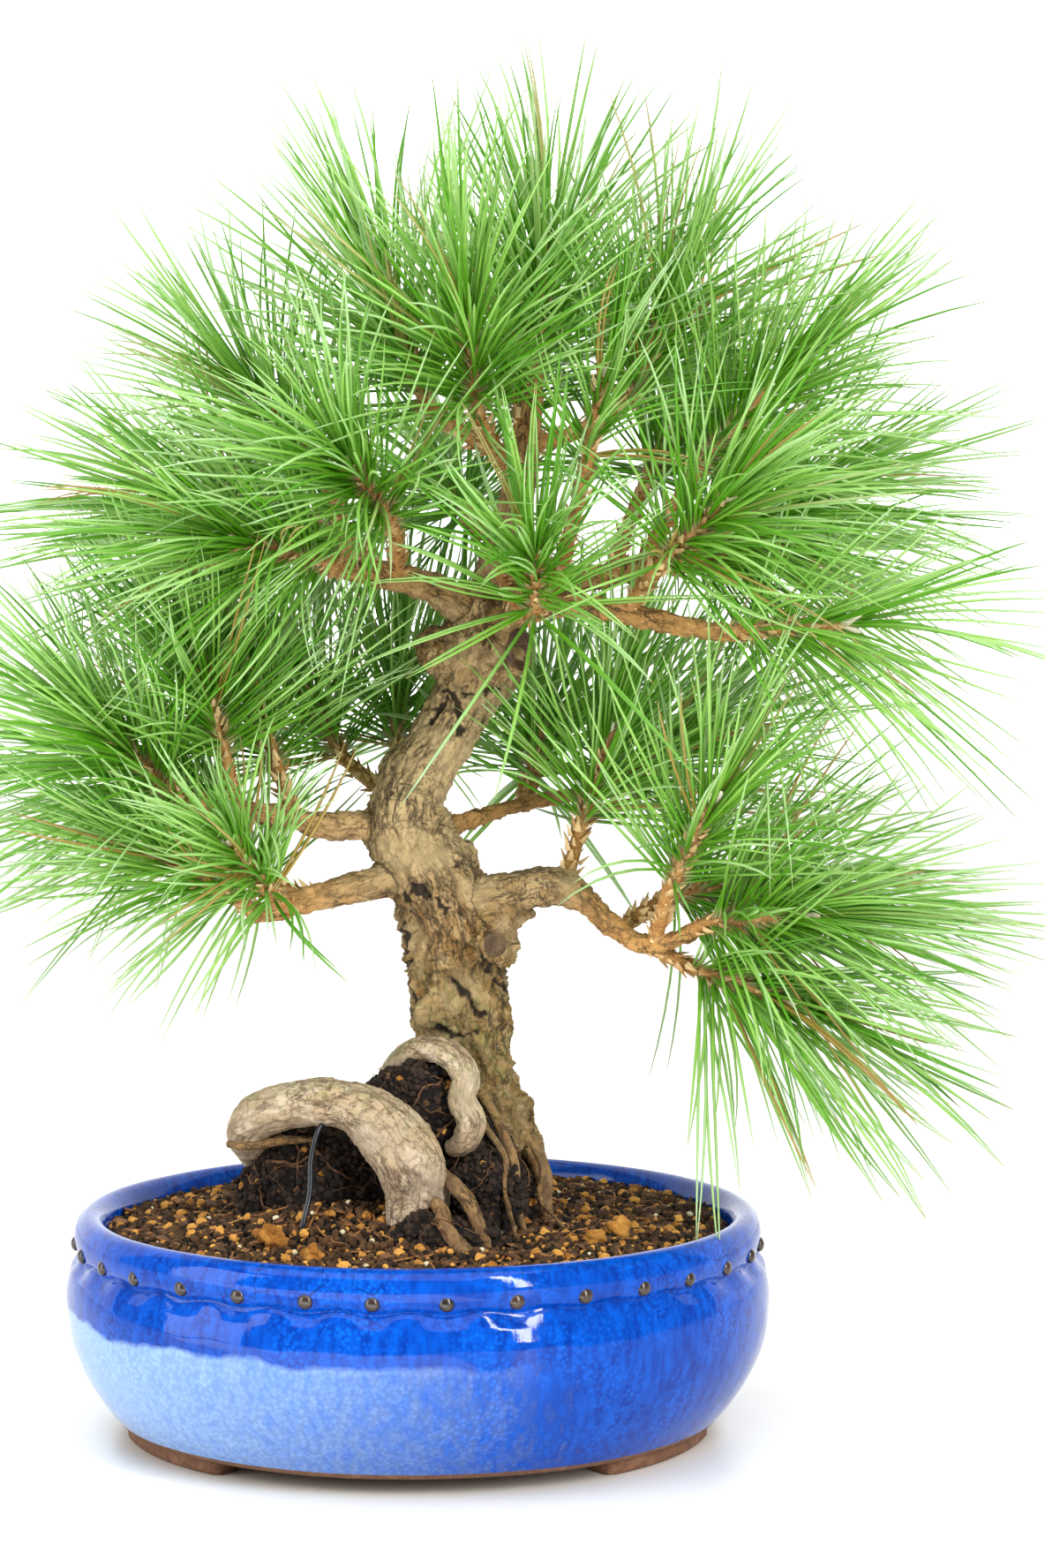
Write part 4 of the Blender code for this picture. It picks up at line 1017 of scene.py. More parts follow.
PROP_ROOTS: dict[str, Route] = {
    "root_front": [
        (9, -46, 98, 2.4), (14, -55, 95, 2.8), (19, -60, 90, 3.0), (22, -63, 83, 2.8), (25, -64, 76, 2.2),
        (27, -62, 70, 1.6),
    ],
    "root_prop_right": [
        (30, -4, 112, 3.5), (39, -9, 102, 4.0), (44, -12, 93, 3.4), (45, -15, 82, 2.8), (47, -18, 66, 2.2),
    ],
    "root_prop_front": [
        (20, -22, 126, 2.2), (28, -31, 114, 2.3), (34, -36, 100, 2.0), (35, -39, 86, 1.7), (40, -42, 68, 1.3),
    ],
    "root_prop_thin": [
        (17, -30, 128, 1.3), (23, -38, 115, 1.5), (31, -43, 103, 1.3), (31, -48, 92, 1.1), (36, -54, 72, 0.9),
    ],
    "root_prop_low": [
        (5, -52, 90, 2.4), (9, -61, 88, 3.0), (11, -66, 82, 3.2), (16, -69, 76, 3.0), (23, -70, 72, 2.2),
    ],
    "root_prop_side": [
        (40, -16, 104, 1.1), (44, -22, 95, 1.2), (43, -26, 86, 1.0), (50, -32, 78, 0.9), (55, -36, 73, 0.7),
    ],
    "root_stub": [
        (-66, -30, 105.5, 1.4), (-56, -34, 106, 2.0), (-46, -34, 107.5, 2.0), (-36, -30, 107, 1.2),
    ],
}

LIMBS: dict[str, Route] = {
    "limb_right_low": [
        (10, -2, 184, 9), (24, -9, 189, 8.0), (38, -15, 193, 7.2), (50, -20, 194.5, 6.8),
        (60, -26, 189, 4.6), (70, -32, 180, 3.8), (83, -38, 176, 3.6), (95, -42, 181, 3.2),
    ],
    "limb_left_low": [
        (4, -3, 197, 6.4), (-13, -10, 195, 6), (-24, -16, 193, 5.4), (-35, -22, 191, 4.6),
        (-46, -26, 188, 4.2), (-56, -28, 186, 3.6),
    ],
    "limb_left_mid": [
        (-4, -4, 217, 5.6), (-20, -7, 215, 5.4), (-32, -10, 215, 5), (-46, -16, 218.5, 4.4),
        (-62, -23, 221, 4), (-76, -29, 223, 3.4),
    ],
    "limb_back_left": [
        (-3, -3, 216, 4.6), (-8, 14, 219, 4.4), (-12, 30, 225, 3.8), (-10, 44, 233, 3.2),
    ],
    "limb_back_right": [
        (2, -2, 211, 4), (18, 12, 215, 3.6), (34, 22, 219, 3), (50, 26, 222, 2.8), (66, 27, 224, 2.6),
    ],
    "limb_right_top": [
        (23, 4, 282, 6), (36, -14, 290, 5.6), (50, -30, 293.5, 5), (68, -41, 291.5, 4.4),
        (88, -47, 287, 4), (106, -51, 284, 3.6),
    ],
    "leader": [
        (24, 6, 286, 9), (27, 6, 302, 8), (33, 4, 322, 6.6), (38, 3, 344, 5.2), (41, 2, 366, 3.8),
    ],
    "limb_crown_left": [
        (22, 4, 284, 6.6), (8, -4, 297, 6), (-8, -8, 302, 5), (-24, -10, 305, 4.2), (-38, -11, 309, 3.4),
    ],
    "limb_crown_right": [
        (24, 7, 286, 6.4), (44, 16, 297, 5.8), (62, 19, 301, 5), (80, 18, 305, 4.2), (96, 14, 310, 3.4),
    ],
}

# name: the limb that it grows from, how far along, the needles' foot in mm, direction, share of needles
SHOOTS: dict[str, tuple[str, float, Point, Point, float]] = {
    "shoot_crown_top": ("leader", 1.0, (42, 2, 374), (0.08, 0.0, 1.0), 1.0),
    "shoot_crown_top_right": ("leader", 0.8, (74, 4, 364), (0.4, 0.0, 0.92), 1.0),
    "shoot_crown_top_left": ("leader", 0.75, (4, 0, 362), (-0.34, 0.0, 0.94), 1.0),
    "shoot_crown_top_back": ("leader", 0.65, (36, 40, 358), (0.0, 0.58, 0.82), 1.0),
    "shoot_crown_top_front": ("leader", 0.7, (22, -36, 358), (-0.1, -0.5, 0.86), 1.0),
    "shoot_crown_front": ("leader", 0.3, (41, -45, 291), (0.02, -0.78, 0.63), 0.9),
    "shoot_crown_spire": ("limb_right_top", 0.35, (58, -48, 338), (0.2, -0.02, 0.98), 0.72),
    "shoot_crown_back": ("leader", 0.4, (18, 48, 322), (-0.25, 0.85, 0.45), 1.0),
    "shoot_crown_right_1": ("limb_crown_right", 1.0, (104, 13, 316), (0.9, -0.05, 0.42), 1.0),
    "shoot_crown_right_2": ("limb_crown_right", 0.75, (100, -6, 342), (0.66, -0.12, 0.74), 1.0),
    "shoot_crown_right_3": ("limb_crown_right", 0.6, (82, 40, 336), (0.45, 0.55, 0.7), 1.0),
    "shoot_crown_right_4": ("limb_crown_right", 0.8, (100, 36, 306), (0.85, 0.5, 0.15), 1.0),
    "shoot_crown_left_1": ("limb_crown_left", 1.0, (-43, -11, 313), (-0.92, -0.1, 0.36), 1.0),
    "shoot_crown_left_2": ("limb_crown_left", 0.75, (-34, 2, 340), (-0.66, 0.1, 0.74), 1.0),
    "shoot_crown_left_3": ("limb_crown_left", 0.8, (-32, -36, 308), (-0.78, -0.56, 0.22), 1.0),
    "shoot_crown_left_4": ("limb_crown_left", 0.5, (-8, -38, 322), (-0.4, -0.7, 0.58), 1.0),
    "shoot_crown_left_5": ("limb_crown_left", 0.6, (-26, 30, 314), (-0.7, 0.62, 0.3), 1.0),
    "shoot_top_right_end": ("limb_right_top", 1.0, (112, -52, 285), (0.94, -0.1, 0.06), 0.95),
    "shoot_top_right_front": ("limb_right_top", 0.65, (84, -58, 308), (0.6, -0.5, 0.62), 0.9),
    "shoot_left_mid_1": ("limb_left_mid", 1.0, (-82, -31, 227), (-0.7, -0.2, 0.68), 1.0),
    "shoot_left_mid_2": ("limb_left_mid", 0.8, (-66, -28, 240), (-0.22, -0.15, 0.96), 1.0),
    "shoot_left_mid_3": ("limb_left_mid", 0.55, (-50, 2, 236), (-0.3, 0.4, 0.87), 1.0),
    "shoot_left_mid_4": ("limb_left_mid", 0.7, (-74, -4, 222), (-0.85, 0.4, 0.35), 1.0),
    "shoot_left_low_1": ("limb_left_low", 1.0, (-62, -30, 191), (-0.82, -0.24, 0.5), 0.8),
    "shoot_left_low_2": ("limb_left_low", 0.75, (-48, -46, 193), (-0.4, -0.66, 0.62), 0.62),
    "shoot_left_low_3": ("limb_left_low", 0.6, (-54, -4, 196), (-0.68, 0.5, 0.53), 0.78),
    "shoot_back_left_1": ("limb_back_left", 1.0, (-9, 50, 238), (0.05, 0.6, 0.8), 1.0),
    "shoot_back_left_2": ("limb_back_left", 0.6, (-28, 40, 236), (-0.45, 0.45, 0.77), 1.0),
    "shoot_back_right_1": ("limb_back_right", 1.0, (72, 28, 226), (0.75, 0.4, 0.52), 1.0),
    "shoot_back_right_2": ("limb_back_right", 0.55, (40, 42, 228), (0.15, 0.75, 0.6), 1.0),
    "shoot_right_low_1": ("limb_right_low", 1.0, (101, -44, 184), (0.93, -0.22, 0.12), 1.0),
    "shoot_right_low_2": ("limb_right_low", 0.85, (88, -48, 198), (0.4, -0.34, 0.85), 0.95),
    "shoot_right_low_3": ("limb_right_low", 0.72, (90, -12, 190), (0.95, 0.2, 0.12), 1.0),
    "shoot_right_low_4": ("limb_right_low", 0.8, (96, -36, 168), (0.92, -0.25, -0.3), 0.95),
    "shoot_right_low_5": ("limb_right_low", 0.45, (58, -10, 216), (0.3, 0.1, 0.95), 0.95),
}

# Shoots that carry fewer needles than the rest, so their stems show: the share that is left
SPARSE: dict[str, float] = {
    "shoot_crown_front": 0.75,
    "shoot_crown_spire": 0.4,
    "shoot_top_right_end": 0.55,
    "shoot_right_low_2": 0.7,
    "shoot_left_low_1": 0.8,
}

# The old root mass under the trunk: centre and half-axes of each lobe in mm
LOBES: list[tuple[Point, Point]] = [
    ((8, -8, 84), (30, 30, 42)),
    ((-31, -13, 84), (31, 23, 31)),
    ((-50, -11, 78), (14, 18, 24)),
    ((25, -8, 76), (20, 24, 30)),
    ((2, -27, 116), (19, 14, 19)),
    ((-12, -26, 118), (8, 9, 11)),
    ((10, -58, 72), (24, 13, 15)),
    ((24, -36, 86), (14, 14, 20)),
]


# ------------------------------------------------------------------ the pot


class Part(Enum):
    """Which material of the pot's body a face takes."""

    GLAZED = 0
    BARE = 1


def ring_mesh(rows: Rows, name: str, closed: bool = True) -> bpy.types.Mesh:
    """A mesh from rings of points, each joined to the next.

    Args:
        rows: An array of ring, step and x, y, z; every ring goes round the same way.
        name: The mesh's name.
        closed: Whether the last ring is joined to the first, instead of both ends being capped.

    Returns:
        A closed mesh.
    """
    rings, steps = rows.shape[:2]
    faces = []
    for ring in range(rings if closed else rings - 1):
        here, there = ring * steps, ((ring + 1) % rings) * steps
        for k in range(steps):
            after = (k + 1) % steps
            faces.append((here + k, here + after, there + after, there + k))
    if not closed:
        faces += [tuple(reversed(range(steps))), tuple((rings - 1) * steps + k for k in range(steps))]
    mesh = drawn(name, rows.reshape(-1, 3).tolist(), [], faces)
    bm = bmesh.new()
    bm.from_mesh(mesh)
    bmesh.ops.recalc_face_normals(bm, faces=bm.faces)
    bm.to_mesh(mesh)
    bm.free()
    mesh.shade_smooth()
    return mesh


def noise_round(turn: float, lumps: float, third: float) -> float:
    """Noise that closes on itself round a full turn; more lumps make it finer."""
    return noise.noise(Vector((lumps * math.cos(turn), lumps * math.sin(turn), third)))


@dataclass(frozen=True)
class GlazedPot:
    """A round pot thrown with a full belly and a rolled collar, on three feet, with clay buttons.

    Sizes are in mm.
    """

    height: float = 78.0
    belly_radius: float = 125.0
    base_radius: float = 106.0
    belly_height: float = 49.0
    belly_round: float = 2.2  # how late the belly turns in to the base
    neck_height: float = 62.0
    collar_inset: float = 3.0
    collar_centre: tuple[float, float] = (116.0, 70.0)
    collar_half: tuple[float, float] = (6.0, 8.0)
    collar_from: float = 208.0  # degrees round the roll where it starts, and how far it goes
    collar_sweep: float = 264.0
    groove: float = 1.3
    scallop: float = 1.1
    wall: float = 8.0
    inner_bend: float = 9.0  # radius where the wall meets the floor, inside
    base_inset: float = 1.2
    foot_height: float = 5.0
    glaze_end: float = 6.4  # height where the glaze was wiped off
    drain_radius: float = 9.0
    foot_arc: float = math.radians(40)
    foot_rim: tuple[float, float] = (91.0, 104.0)
    foot_square: float = 0.28  # 1 is a round section, less is squarer
    studs: int = 32
    stud_radius: float = 2.7
    stud_proud: float = 1.9
    stud_sunk: float = 0.9
    stud_drop: float = 2.9  # below the middle of the collar
    segments: int = 256

    def belly(self, z: float) -> float:
        """Outer radius of the belly at a height."""
        if z < self.belly_height:
            share = (self.belly_height - z) / (self.belly_height - self.foot_height)
            return self.belly_radius - (self.belly_radius - self.base_radius) * share**self.belly_round
        share = (z - self.belly_height) / (self.neck_height - self.belly_height)
        return self.belly_radius - self.collar_inset * share**2

    def profile(self) -> list[tuple[float, float]]:
        """The wall's outline: up the inside, over the collar, down the belly, in along the underside."""
        bend, neck = self.inner_bend, self.neck_height
        start = FLOOR_TOP + bend
        foot = self.belly(start) - self.wall - bend
        line = [(foot * share, FLOOR_TOP) for share in (0.001, 0.3, 0.6, 0.85)]
        for turn in (math.radians(-90 + 15 * k) for k in range(7)):
            line.append((foot + bend * math.cos(turn), start + bend * math.sin(turn)))
        for z in (start + (neck - start) * k / 12 for k in range(1, 12)):
            line.append((self.belly(z) - self.wall, z))
        (middle, height), (across, up) = self.collar_centre, self.collar_half
        for turn in (math.radians(self.collar_from - self.collar_sweep * k / 32) for k in range(33)):
            line.append((middle + across * math.cos(turn), height + up * math.sin(turn)))
        line.append((self.belly(neck) - self.groove, neck + 0.6))
        line.append((self.belly(neck - 0.8) - self.groove * 0.8, neck - 0.8))
        for k in range(1, 45):
            z = neck - 1.6 - (neck - 1.6 - self.foot_height - 1) * k / 44
            line.append((self.belly(z), z))
        base = self.base_radius - self.base_inset
        return line + [(base * share, self.foot_height) for share in (1, 0.95, 0.8, 0.5, 0.2, 0.001)]

    def uneven(self, turn: float, r: float, z: float) -> tuple[float, float]:
        """The hand-made unevenness at a place of the wall, and the scallops under the collar."""
        slow, fine = noise_round(turn, 2, z / 40), noise_round(turn, 11, z / 9)
        r += float(smoothstep(20, 90, r)) * (0.55 * slow + 0.16 * fine)
        at_neck = math.exp(-(((z - self.neck_height) / 2.6) ** 2)) * float(smoothstep(112, 118, r))
        z += at_neck * self.scallop * math.cos(self.studs * turn)
        return r, z + 0.25 * slow * math.exp(-(((z - self.height) / 3.0) ** 2))

    def body(self) -> bpy.types.Mesh:
        """The thrown body with its drain holes, glazed above and bare below."""
        profile = self.profile()
        rows = np.empty((self.segments, len(profile), 3))
        for k, turn in enumerate(turns(self.segments)):
            for n, (r, z) in enumerate(profile):
                r, z = self.uneven(turn, r, z)
                rows[k, n] = (r * math.cos(turn), r * math.sin(turn), z)
        body = carrier("pot_carrier", ring_mesh(rows * MM, "pot_body"))
        cutters = []
        for side in (-1, 1):
            bm = bmesh.new()
            bmesh.ops.create_cone(
                bm, cap_ends=True, segments=48,
                radius1=self.drain_radius * MM, radius2=self.drain_radius * MM,
                depth=30 * MM, matrix=Matrix.Translation((side * DRAIN_OFFSET * MM, 0, 8 * MM)),
            )
            cutters.append(carrier(f"drain_cutter_{side}", mesh_of(bm, "drain_cutter")))
            cut = body.modifiers.new(f"drain_{side}", "BOOLEAN")
            cut.operation = "DIFFERENCE"
            cut.solver = "EXACT"
            cut.object = cutters[-1]
        made = dressed(evaluated(body), GLAZE, BARE_CLAY)
        for cutter in cutters:
            bpy.data.objects.remove(cutter)
        for face in made.polygons:
            x, y, z = face.center / MM
            edge = self.glaze_end + 0.9 * noise_round(math.atan2(y, x), 9, 0)
            inside = math.hypot(x, y) < 108 and z < 60
            face.material_index = (Part.BARE if z < edge or inside else Part.GLAZED).value
        return made

    def feet(self) -> bpy.types.Mesh:
        """The three low feet: blocks of bare clay with softened edges, along the rim."""
        inner, outer = self.foot_rim
        steps, sides, half_height = 28, 16, 3.0
        blocks = []
        for middle in (math.radians(90 + 120 * index) for index in range(3)):
            rows = np.empty((steps + 1, sides, 3))
            for k in range(steps + 1):
                share = k / steps
                turn = middle + self.foot_arc * (share - 0.5)
                end = 1 - max(0.0, abs(share - 0.5) * 2 - 0.93) / 0.07
                shrink = 0.78 + 0.22 * math.sqrt(max(0.0, 1 - (1 - end) ** 2))
                for n, lap in enumerate(turns(sides)):
                    across = math.copysign(abs(math.cos(lap)) ** self.foot_square, math.cos(lap))
                    up = math.copysign(abs(math.sin(lap)) ** self.foot_square, math.sin(lap))
                    r = (inner + outer) / 2 + across * (outer - inner) / 2 * shrink
                    z = half_height + up * half_height * (shrink if up > 0 else 1.0)
                    rows[k, n] = (r * math.cos(turn), r * math.sin(turn), z)
            blocks.append(ring_mesh(rows * MM, "foot", closed=False))
        return dressed(joined(blocks, "pot_feet"), BARE_CLAY)

    def place(self, studs: StudRecipe) -> None:
        """Put the body, the feet and the buttons in the scene."""
        show("pot_body", self.body(), ["pot"])
        show("pot_feet", self.feet(), [])
        ring = studs.run(
            drawn("stud_seed", [(0, 0, 0)]),
            Count=self.studs,
            Ring_radius=(self.collar_centre[0] + self.collar_half[0] - self.stud_sunk) * MM,
            Height=(self.collar_centre[1] - self.stud_drop) * MM,
            Stud_radius=self.stud_radius * MM,
            Proud=self.stud_proud * MM,
            Seed=3,
            Material=IRON_CLAY.material(),
        )
        show("collar_studs", ring, [])


@dataclass(frozen=True)
class DrainNets:
    """A square of woven net over each drain hole, and the wire that ties the tree in. Sizes in mm."""

    side: float = 32.0
    strands: int = 9
    strand_radius: float = 0.55
    wire_radius: float = 0.95
    wire_route: tuple[Point, ...] = (
        (-29, -43, 117), (-33, -48, 113.5), (-35.5, -50.5, 104), (-36, -53, 92), (-39, -57, 78),
        (-42, -45, 60), (-46, -22, 34), (-48, 0, 15.7),
    )

    def place(self, strands: StrandRecipe) -> None:
        """Put the nets and the wire in the scene."""
        half, r = self.side / 2, self.strand_radius
        z = FLOOR_TOP + r + 0.1
        for label, middle in (("left", -DRAIN_OFFSET), ("right", DRAIN_OFFSET)):
            lines = []
            for k in range(self.strands):
                across = (k / (self.strands - 1) - 0.5) * self.side
                lines.append(np.array([(middle + across, y, z, r) for y in (-half, half)]) * MM)
                lines.append(np.array([(middle + x, across, z, r) for x in (-half, half)]) * MM)
            net = strands.run(chains(lines, "net_lines"), Sides=6, Material=NET_PLASTIC.material())
            show(f"drain_net_{label}_woven", net, [f"drain_net_{label}"])
        route = smooth_route([(*spot, self.wire_radius) for spot in self.wire_route], 10)
        line = chains([route], "wire_line")
        wire = strands.run(line, Sides=12, Material=WIRE_COAT.material())
        show("tie_wire_coated", wire, ["tie_wire"])


# ------------------------------------------------------------------ the soil


def grain_shapes(
    name: str, count: int, squash: float, rough: float, facets: tuple[int, int]
) -> bpy.types.Collection:
    """A few uneven grains of radius 1, outside the scene, to be scattered.

    Args:
        name: The collection's name.
        count: How many shapes.
        squash: Height against width.
        rough: How far noise moves the surface.
        facets: Segments round, and rings.

    Returns:
        The collection.
    """
    shapes = bpy.data.collections.new(name)
    for index in range(count):
        bm = bmesh.new()
        bmesh.ops.create_uvsphere(bm, u_segments=facets[0], v_segments=facets[1], radius=1.0)
        for vert in bm.verts:
            place = vert.co * 1.1 + Vector((7.3 * index, 0, 0))
            vert.co *= 1 + rough * noise.noise(place) + 0.5 * rough * noise.noise(place * 2.7)
            vert.co.z *= squash
        shapes.objects.link(bpy.data.objects.new(f"{name}_{index}", mesh_of(bm, f"{name}_{index}")))
    return shapes


@dataclass(frozen=True)
class Layer:
    """One kind of grain to scatter. Sizes in mm, and the most grains to a square metre."""

    name: str
    shapes: bpy.types.Collection
    finish: Finish
    slot: str
    spacing: float
    density: float
    radii: tuple[float, float]
    seed: int
    lift: float = 1.0
    tumble: float = 1.0  # 0 lies flat, 1 any way up
    least_rise: float = 0.3  # how far a face must look up to carry grains

    def scattered(self, scatter: ScatterRecipe, surface: bpy.types.Mesh) -> bpy.types.Mesh:
        """The grains that lie on a surface."""
        return scatter.run(
            surface.copy(),
            Grains=self.shapes,
            Spacing=self.spacing * MM,
            Density=self.density,
            Smallest=self.radii[0] * MM,
            Largest=self.radii[1] * MM,
            Tumble=self.tumble,
            Lift=self.lift * MM,
            Least_rise=self.least_rise,
            Seed=self.seed,
            Material=self.finish.material(),
        )


@dataclass(frozen=True)
class SoilBed:
    """The mix in the pot: dark peat, mounded to the middle, with clay, pumice, bark and needles on it.

    Sizes are in mm.
    """

    edge_radius: float = 109.4
    edge_height: float = 71.0
    dome: float = 5.0
    inner_foot: float = 96.0
    mound_place: tuple[float, float] = (-24.0, -36.0)
    mound_reach: tuple[float, float] = (44.0, 27.0)
    mound_rise: float = 9.0
    bed_gap: float = 0.3  # between the mix and the pot's floor
    rings: int = 70
    segments: int = 180
    needles: int = 60
    needle_radius: float = 0.42
    large_radius: float = 4.0
    large_spots: tuple[Point, ...] = (  # x, y and share of the usual size
        (-48, -64, 1.25), (-34, -76, 0.9), (62, -52, 1.0), (70, -38, 1.1),
    )

    def height_at(self, x: float, y: float) -> float:
        """The soil's height at a place, with its small mounds."""
        r = math.hypot(x, y)
        domed = self.edge_height + self.dome * (1 - (r / self.edge_radius) ** 2)
        broad = noise.noise(Vector((x / 22, y / 22, 3.1))) * 1.7
        fine = noise.noise(Vector((x / 5, y / 5, 9.4))) * 0.9
        fine += noise.noise(Vector((x / 2, y / 2, 1.4))) * 0.45
        calm = 1 - float(smoothstep(self.edge_radius - 6, self.edge_radius, r))
        off = [(at - middle) / reach for at, middle, reach in zip((x, y), self.mound_place, self.mound_reach)]
        mound = self.mound_rise * math.exp(-(off[0] ** 2) - off[1] ** 2)
        return domed + mound + (broad + fine) * (0.35 + 0.65 * calm)

    def surface(self) -> bpy.types.Mesh:
        """The body of the mix, closed, with its uneven top."""
        low, edge = FLOOR_TOP + self.bed_gap, self.edge_radius
        profile = [(0.02, low), (self.inner_foot * 0.5, low), (self.inner_foot, low)]
        profile += [(112, 28), (116, 48), (113, 60), (edge, self.edge_height - 2)]
        profile += [(edge * (1 - k / self.rings) + 0.02, None) for k in range(self.rings + 1)]
        rows = np.empty((self.segments, len(profile), 3))
        for step, turn in enumerate(turns(self.segments)):
            for n, (r, z) in enumerate(profile):
                x, y = r * math.cos(turn), r * math.sin(turn)
                rows[step, n] = (x, y, self.height_at(x, y) if z is None else z)
        return dressed(ring_mesh(rows * MM, "potting_mix_bed"), PEAT)

    def fallen(self) -> bpy.types.Mesh:
        """Dead needles lying on the mix, as chains for strands."""
        rng = random.Random(21)
        lines = []
        for _ in range(self.needles):
            r = self.edge_radius * math.sqrt(rng.uniform(0.12, 0.9))
            turn, heading = rng.uniform(0, 2 * math.pi), rng.uniform(0, math.pi)
            length, bow = rng.uniform(9, 38), rng.uniform(-0.25, 0.25)
            rows = []
            for share in (k / 5 - 0.5 for k in range(6)):
                way = heading + bow * share
                x = r * math.cos(turn) + length * share * math.cos(way)
                y = r * math.sin(turn) + length * share * math.sin(way)
                if math.hypot(x, y) > self.edge_radius - 2:
                    break
                rows.append((x, y, self.height_at(x, y) + 1.3 + rng.uniform(-0.3, 0.5), self.needle_radius))
            if len(rows) > 2:
                lines.append(np.array(rows) * MM)
        return chains(lines, "fallen_lines")

    def place(self, scatter: ScatterRecipe, strands: StrandRecipe) -> None:
        """Put the mix and all that lies on it in the scene."""
        bed = self.surface()
        crumbs = grain_shapes("crumb", 5, 0.8, 0.5, (6, 4))
        clay = grain_shapes("clay", 6, 0.85, 0.32, (9, 6))
        chips = grain_shapes("chip", 5, 0.25, 0.6, (7, 4))
        for layer in (
            Layer("peat_crumbs", crumbs, CRUMB, "mix", 2.3, 9.0e5, (0.75, 2.1), 5, lift=0.7),
            Layer("akadama_grains", clay, FIRED_CLAY, "grain", 6.0, 1.1e4, (1.2, 2.5), 8),
            Layer("akadama_dust", clay, FIRED_CLAY, "grain", 3.5, 3.0e4, (0.6, 1.2), 12),
            Layer("pumice_grains", clay, PUMICE, "grain", 9.0, 2.4e3, (0.7, 1.5), 17),
            Layer("bark_chips", chips, BARK_CHIP, "mix", 6.0, 1.3e4, (1.5, 3.8), 23, lift=1.2, tumble=0.15),
        ):
            show(layer.name, self.clear_of_wall(layer.scattered(scatter, bed)), [])
        show("potting_mix_bed", bed, ["potting_mix"])
        lying = strands.run(self.fallen(), Sides=4, Material=STRAW.material())
        show("fallen_needles", lying, [])
        self.place_large_grains(grain_shapes("large_clay", 4, 0.85, 0.55, (18, 12)))

    def clear_of_wall(self, mesh: bpy.types.Mesh) -> bpy.types.Mesh:
        """Push the points that would reach into the collar back to the soil's edge."""
        rows = read_rows(mesh)
        r = np.hypot(rows[:, 0], rows[:, 1])
        limit = (self.edge_radius + 0.3) * MM
        rows[:, :2] *= np.where(r > limit, limit / np.maximum(r, 1e-9), 1.0)[:, None]
        set_points(mesh, rows)
        return mesh

    def place_large_grains(self, shapes: bpy.types.Collection) -> None:
        """The larger fired-clay grains that lie loose on top."""
        for index, ((x, y, share), shape) in enumerate(zip(self.large_spots, shapes.objects)):
            mesh = shape.data.copy()
            radius = self.large_radius * share
            seat = Vector((x, y, self.height_at(x, y) + radius * 0.62))
            mesh.transform(Matrix.Translation(seat * MM) @ Matrix.Scale(radius * MM, 4))
            bm = bmesh.new()
            bm.from_mesh(mesh)
            bmesh.ops.subdivide_edges(bm, edges=bm.edges, cuts=1, smooth=0.4, use_grid_fill=True)
            for vert in bm.verts:
                vert.co += vert.normal * noise.noise(vert.co / MM / 1.1) * 0.45 * MM
            mesh = dressed(mesh_of(bm, "clay_grain"), FIRED_CLAY)
            write_attribute(mesh, "tone", np.full(len(mesh.vertices), 0.05 + 0.12 * index))
            show(f"clay_grain_{index + 1}_rough", mesh, [f"clay_grain_{index + 1}"])


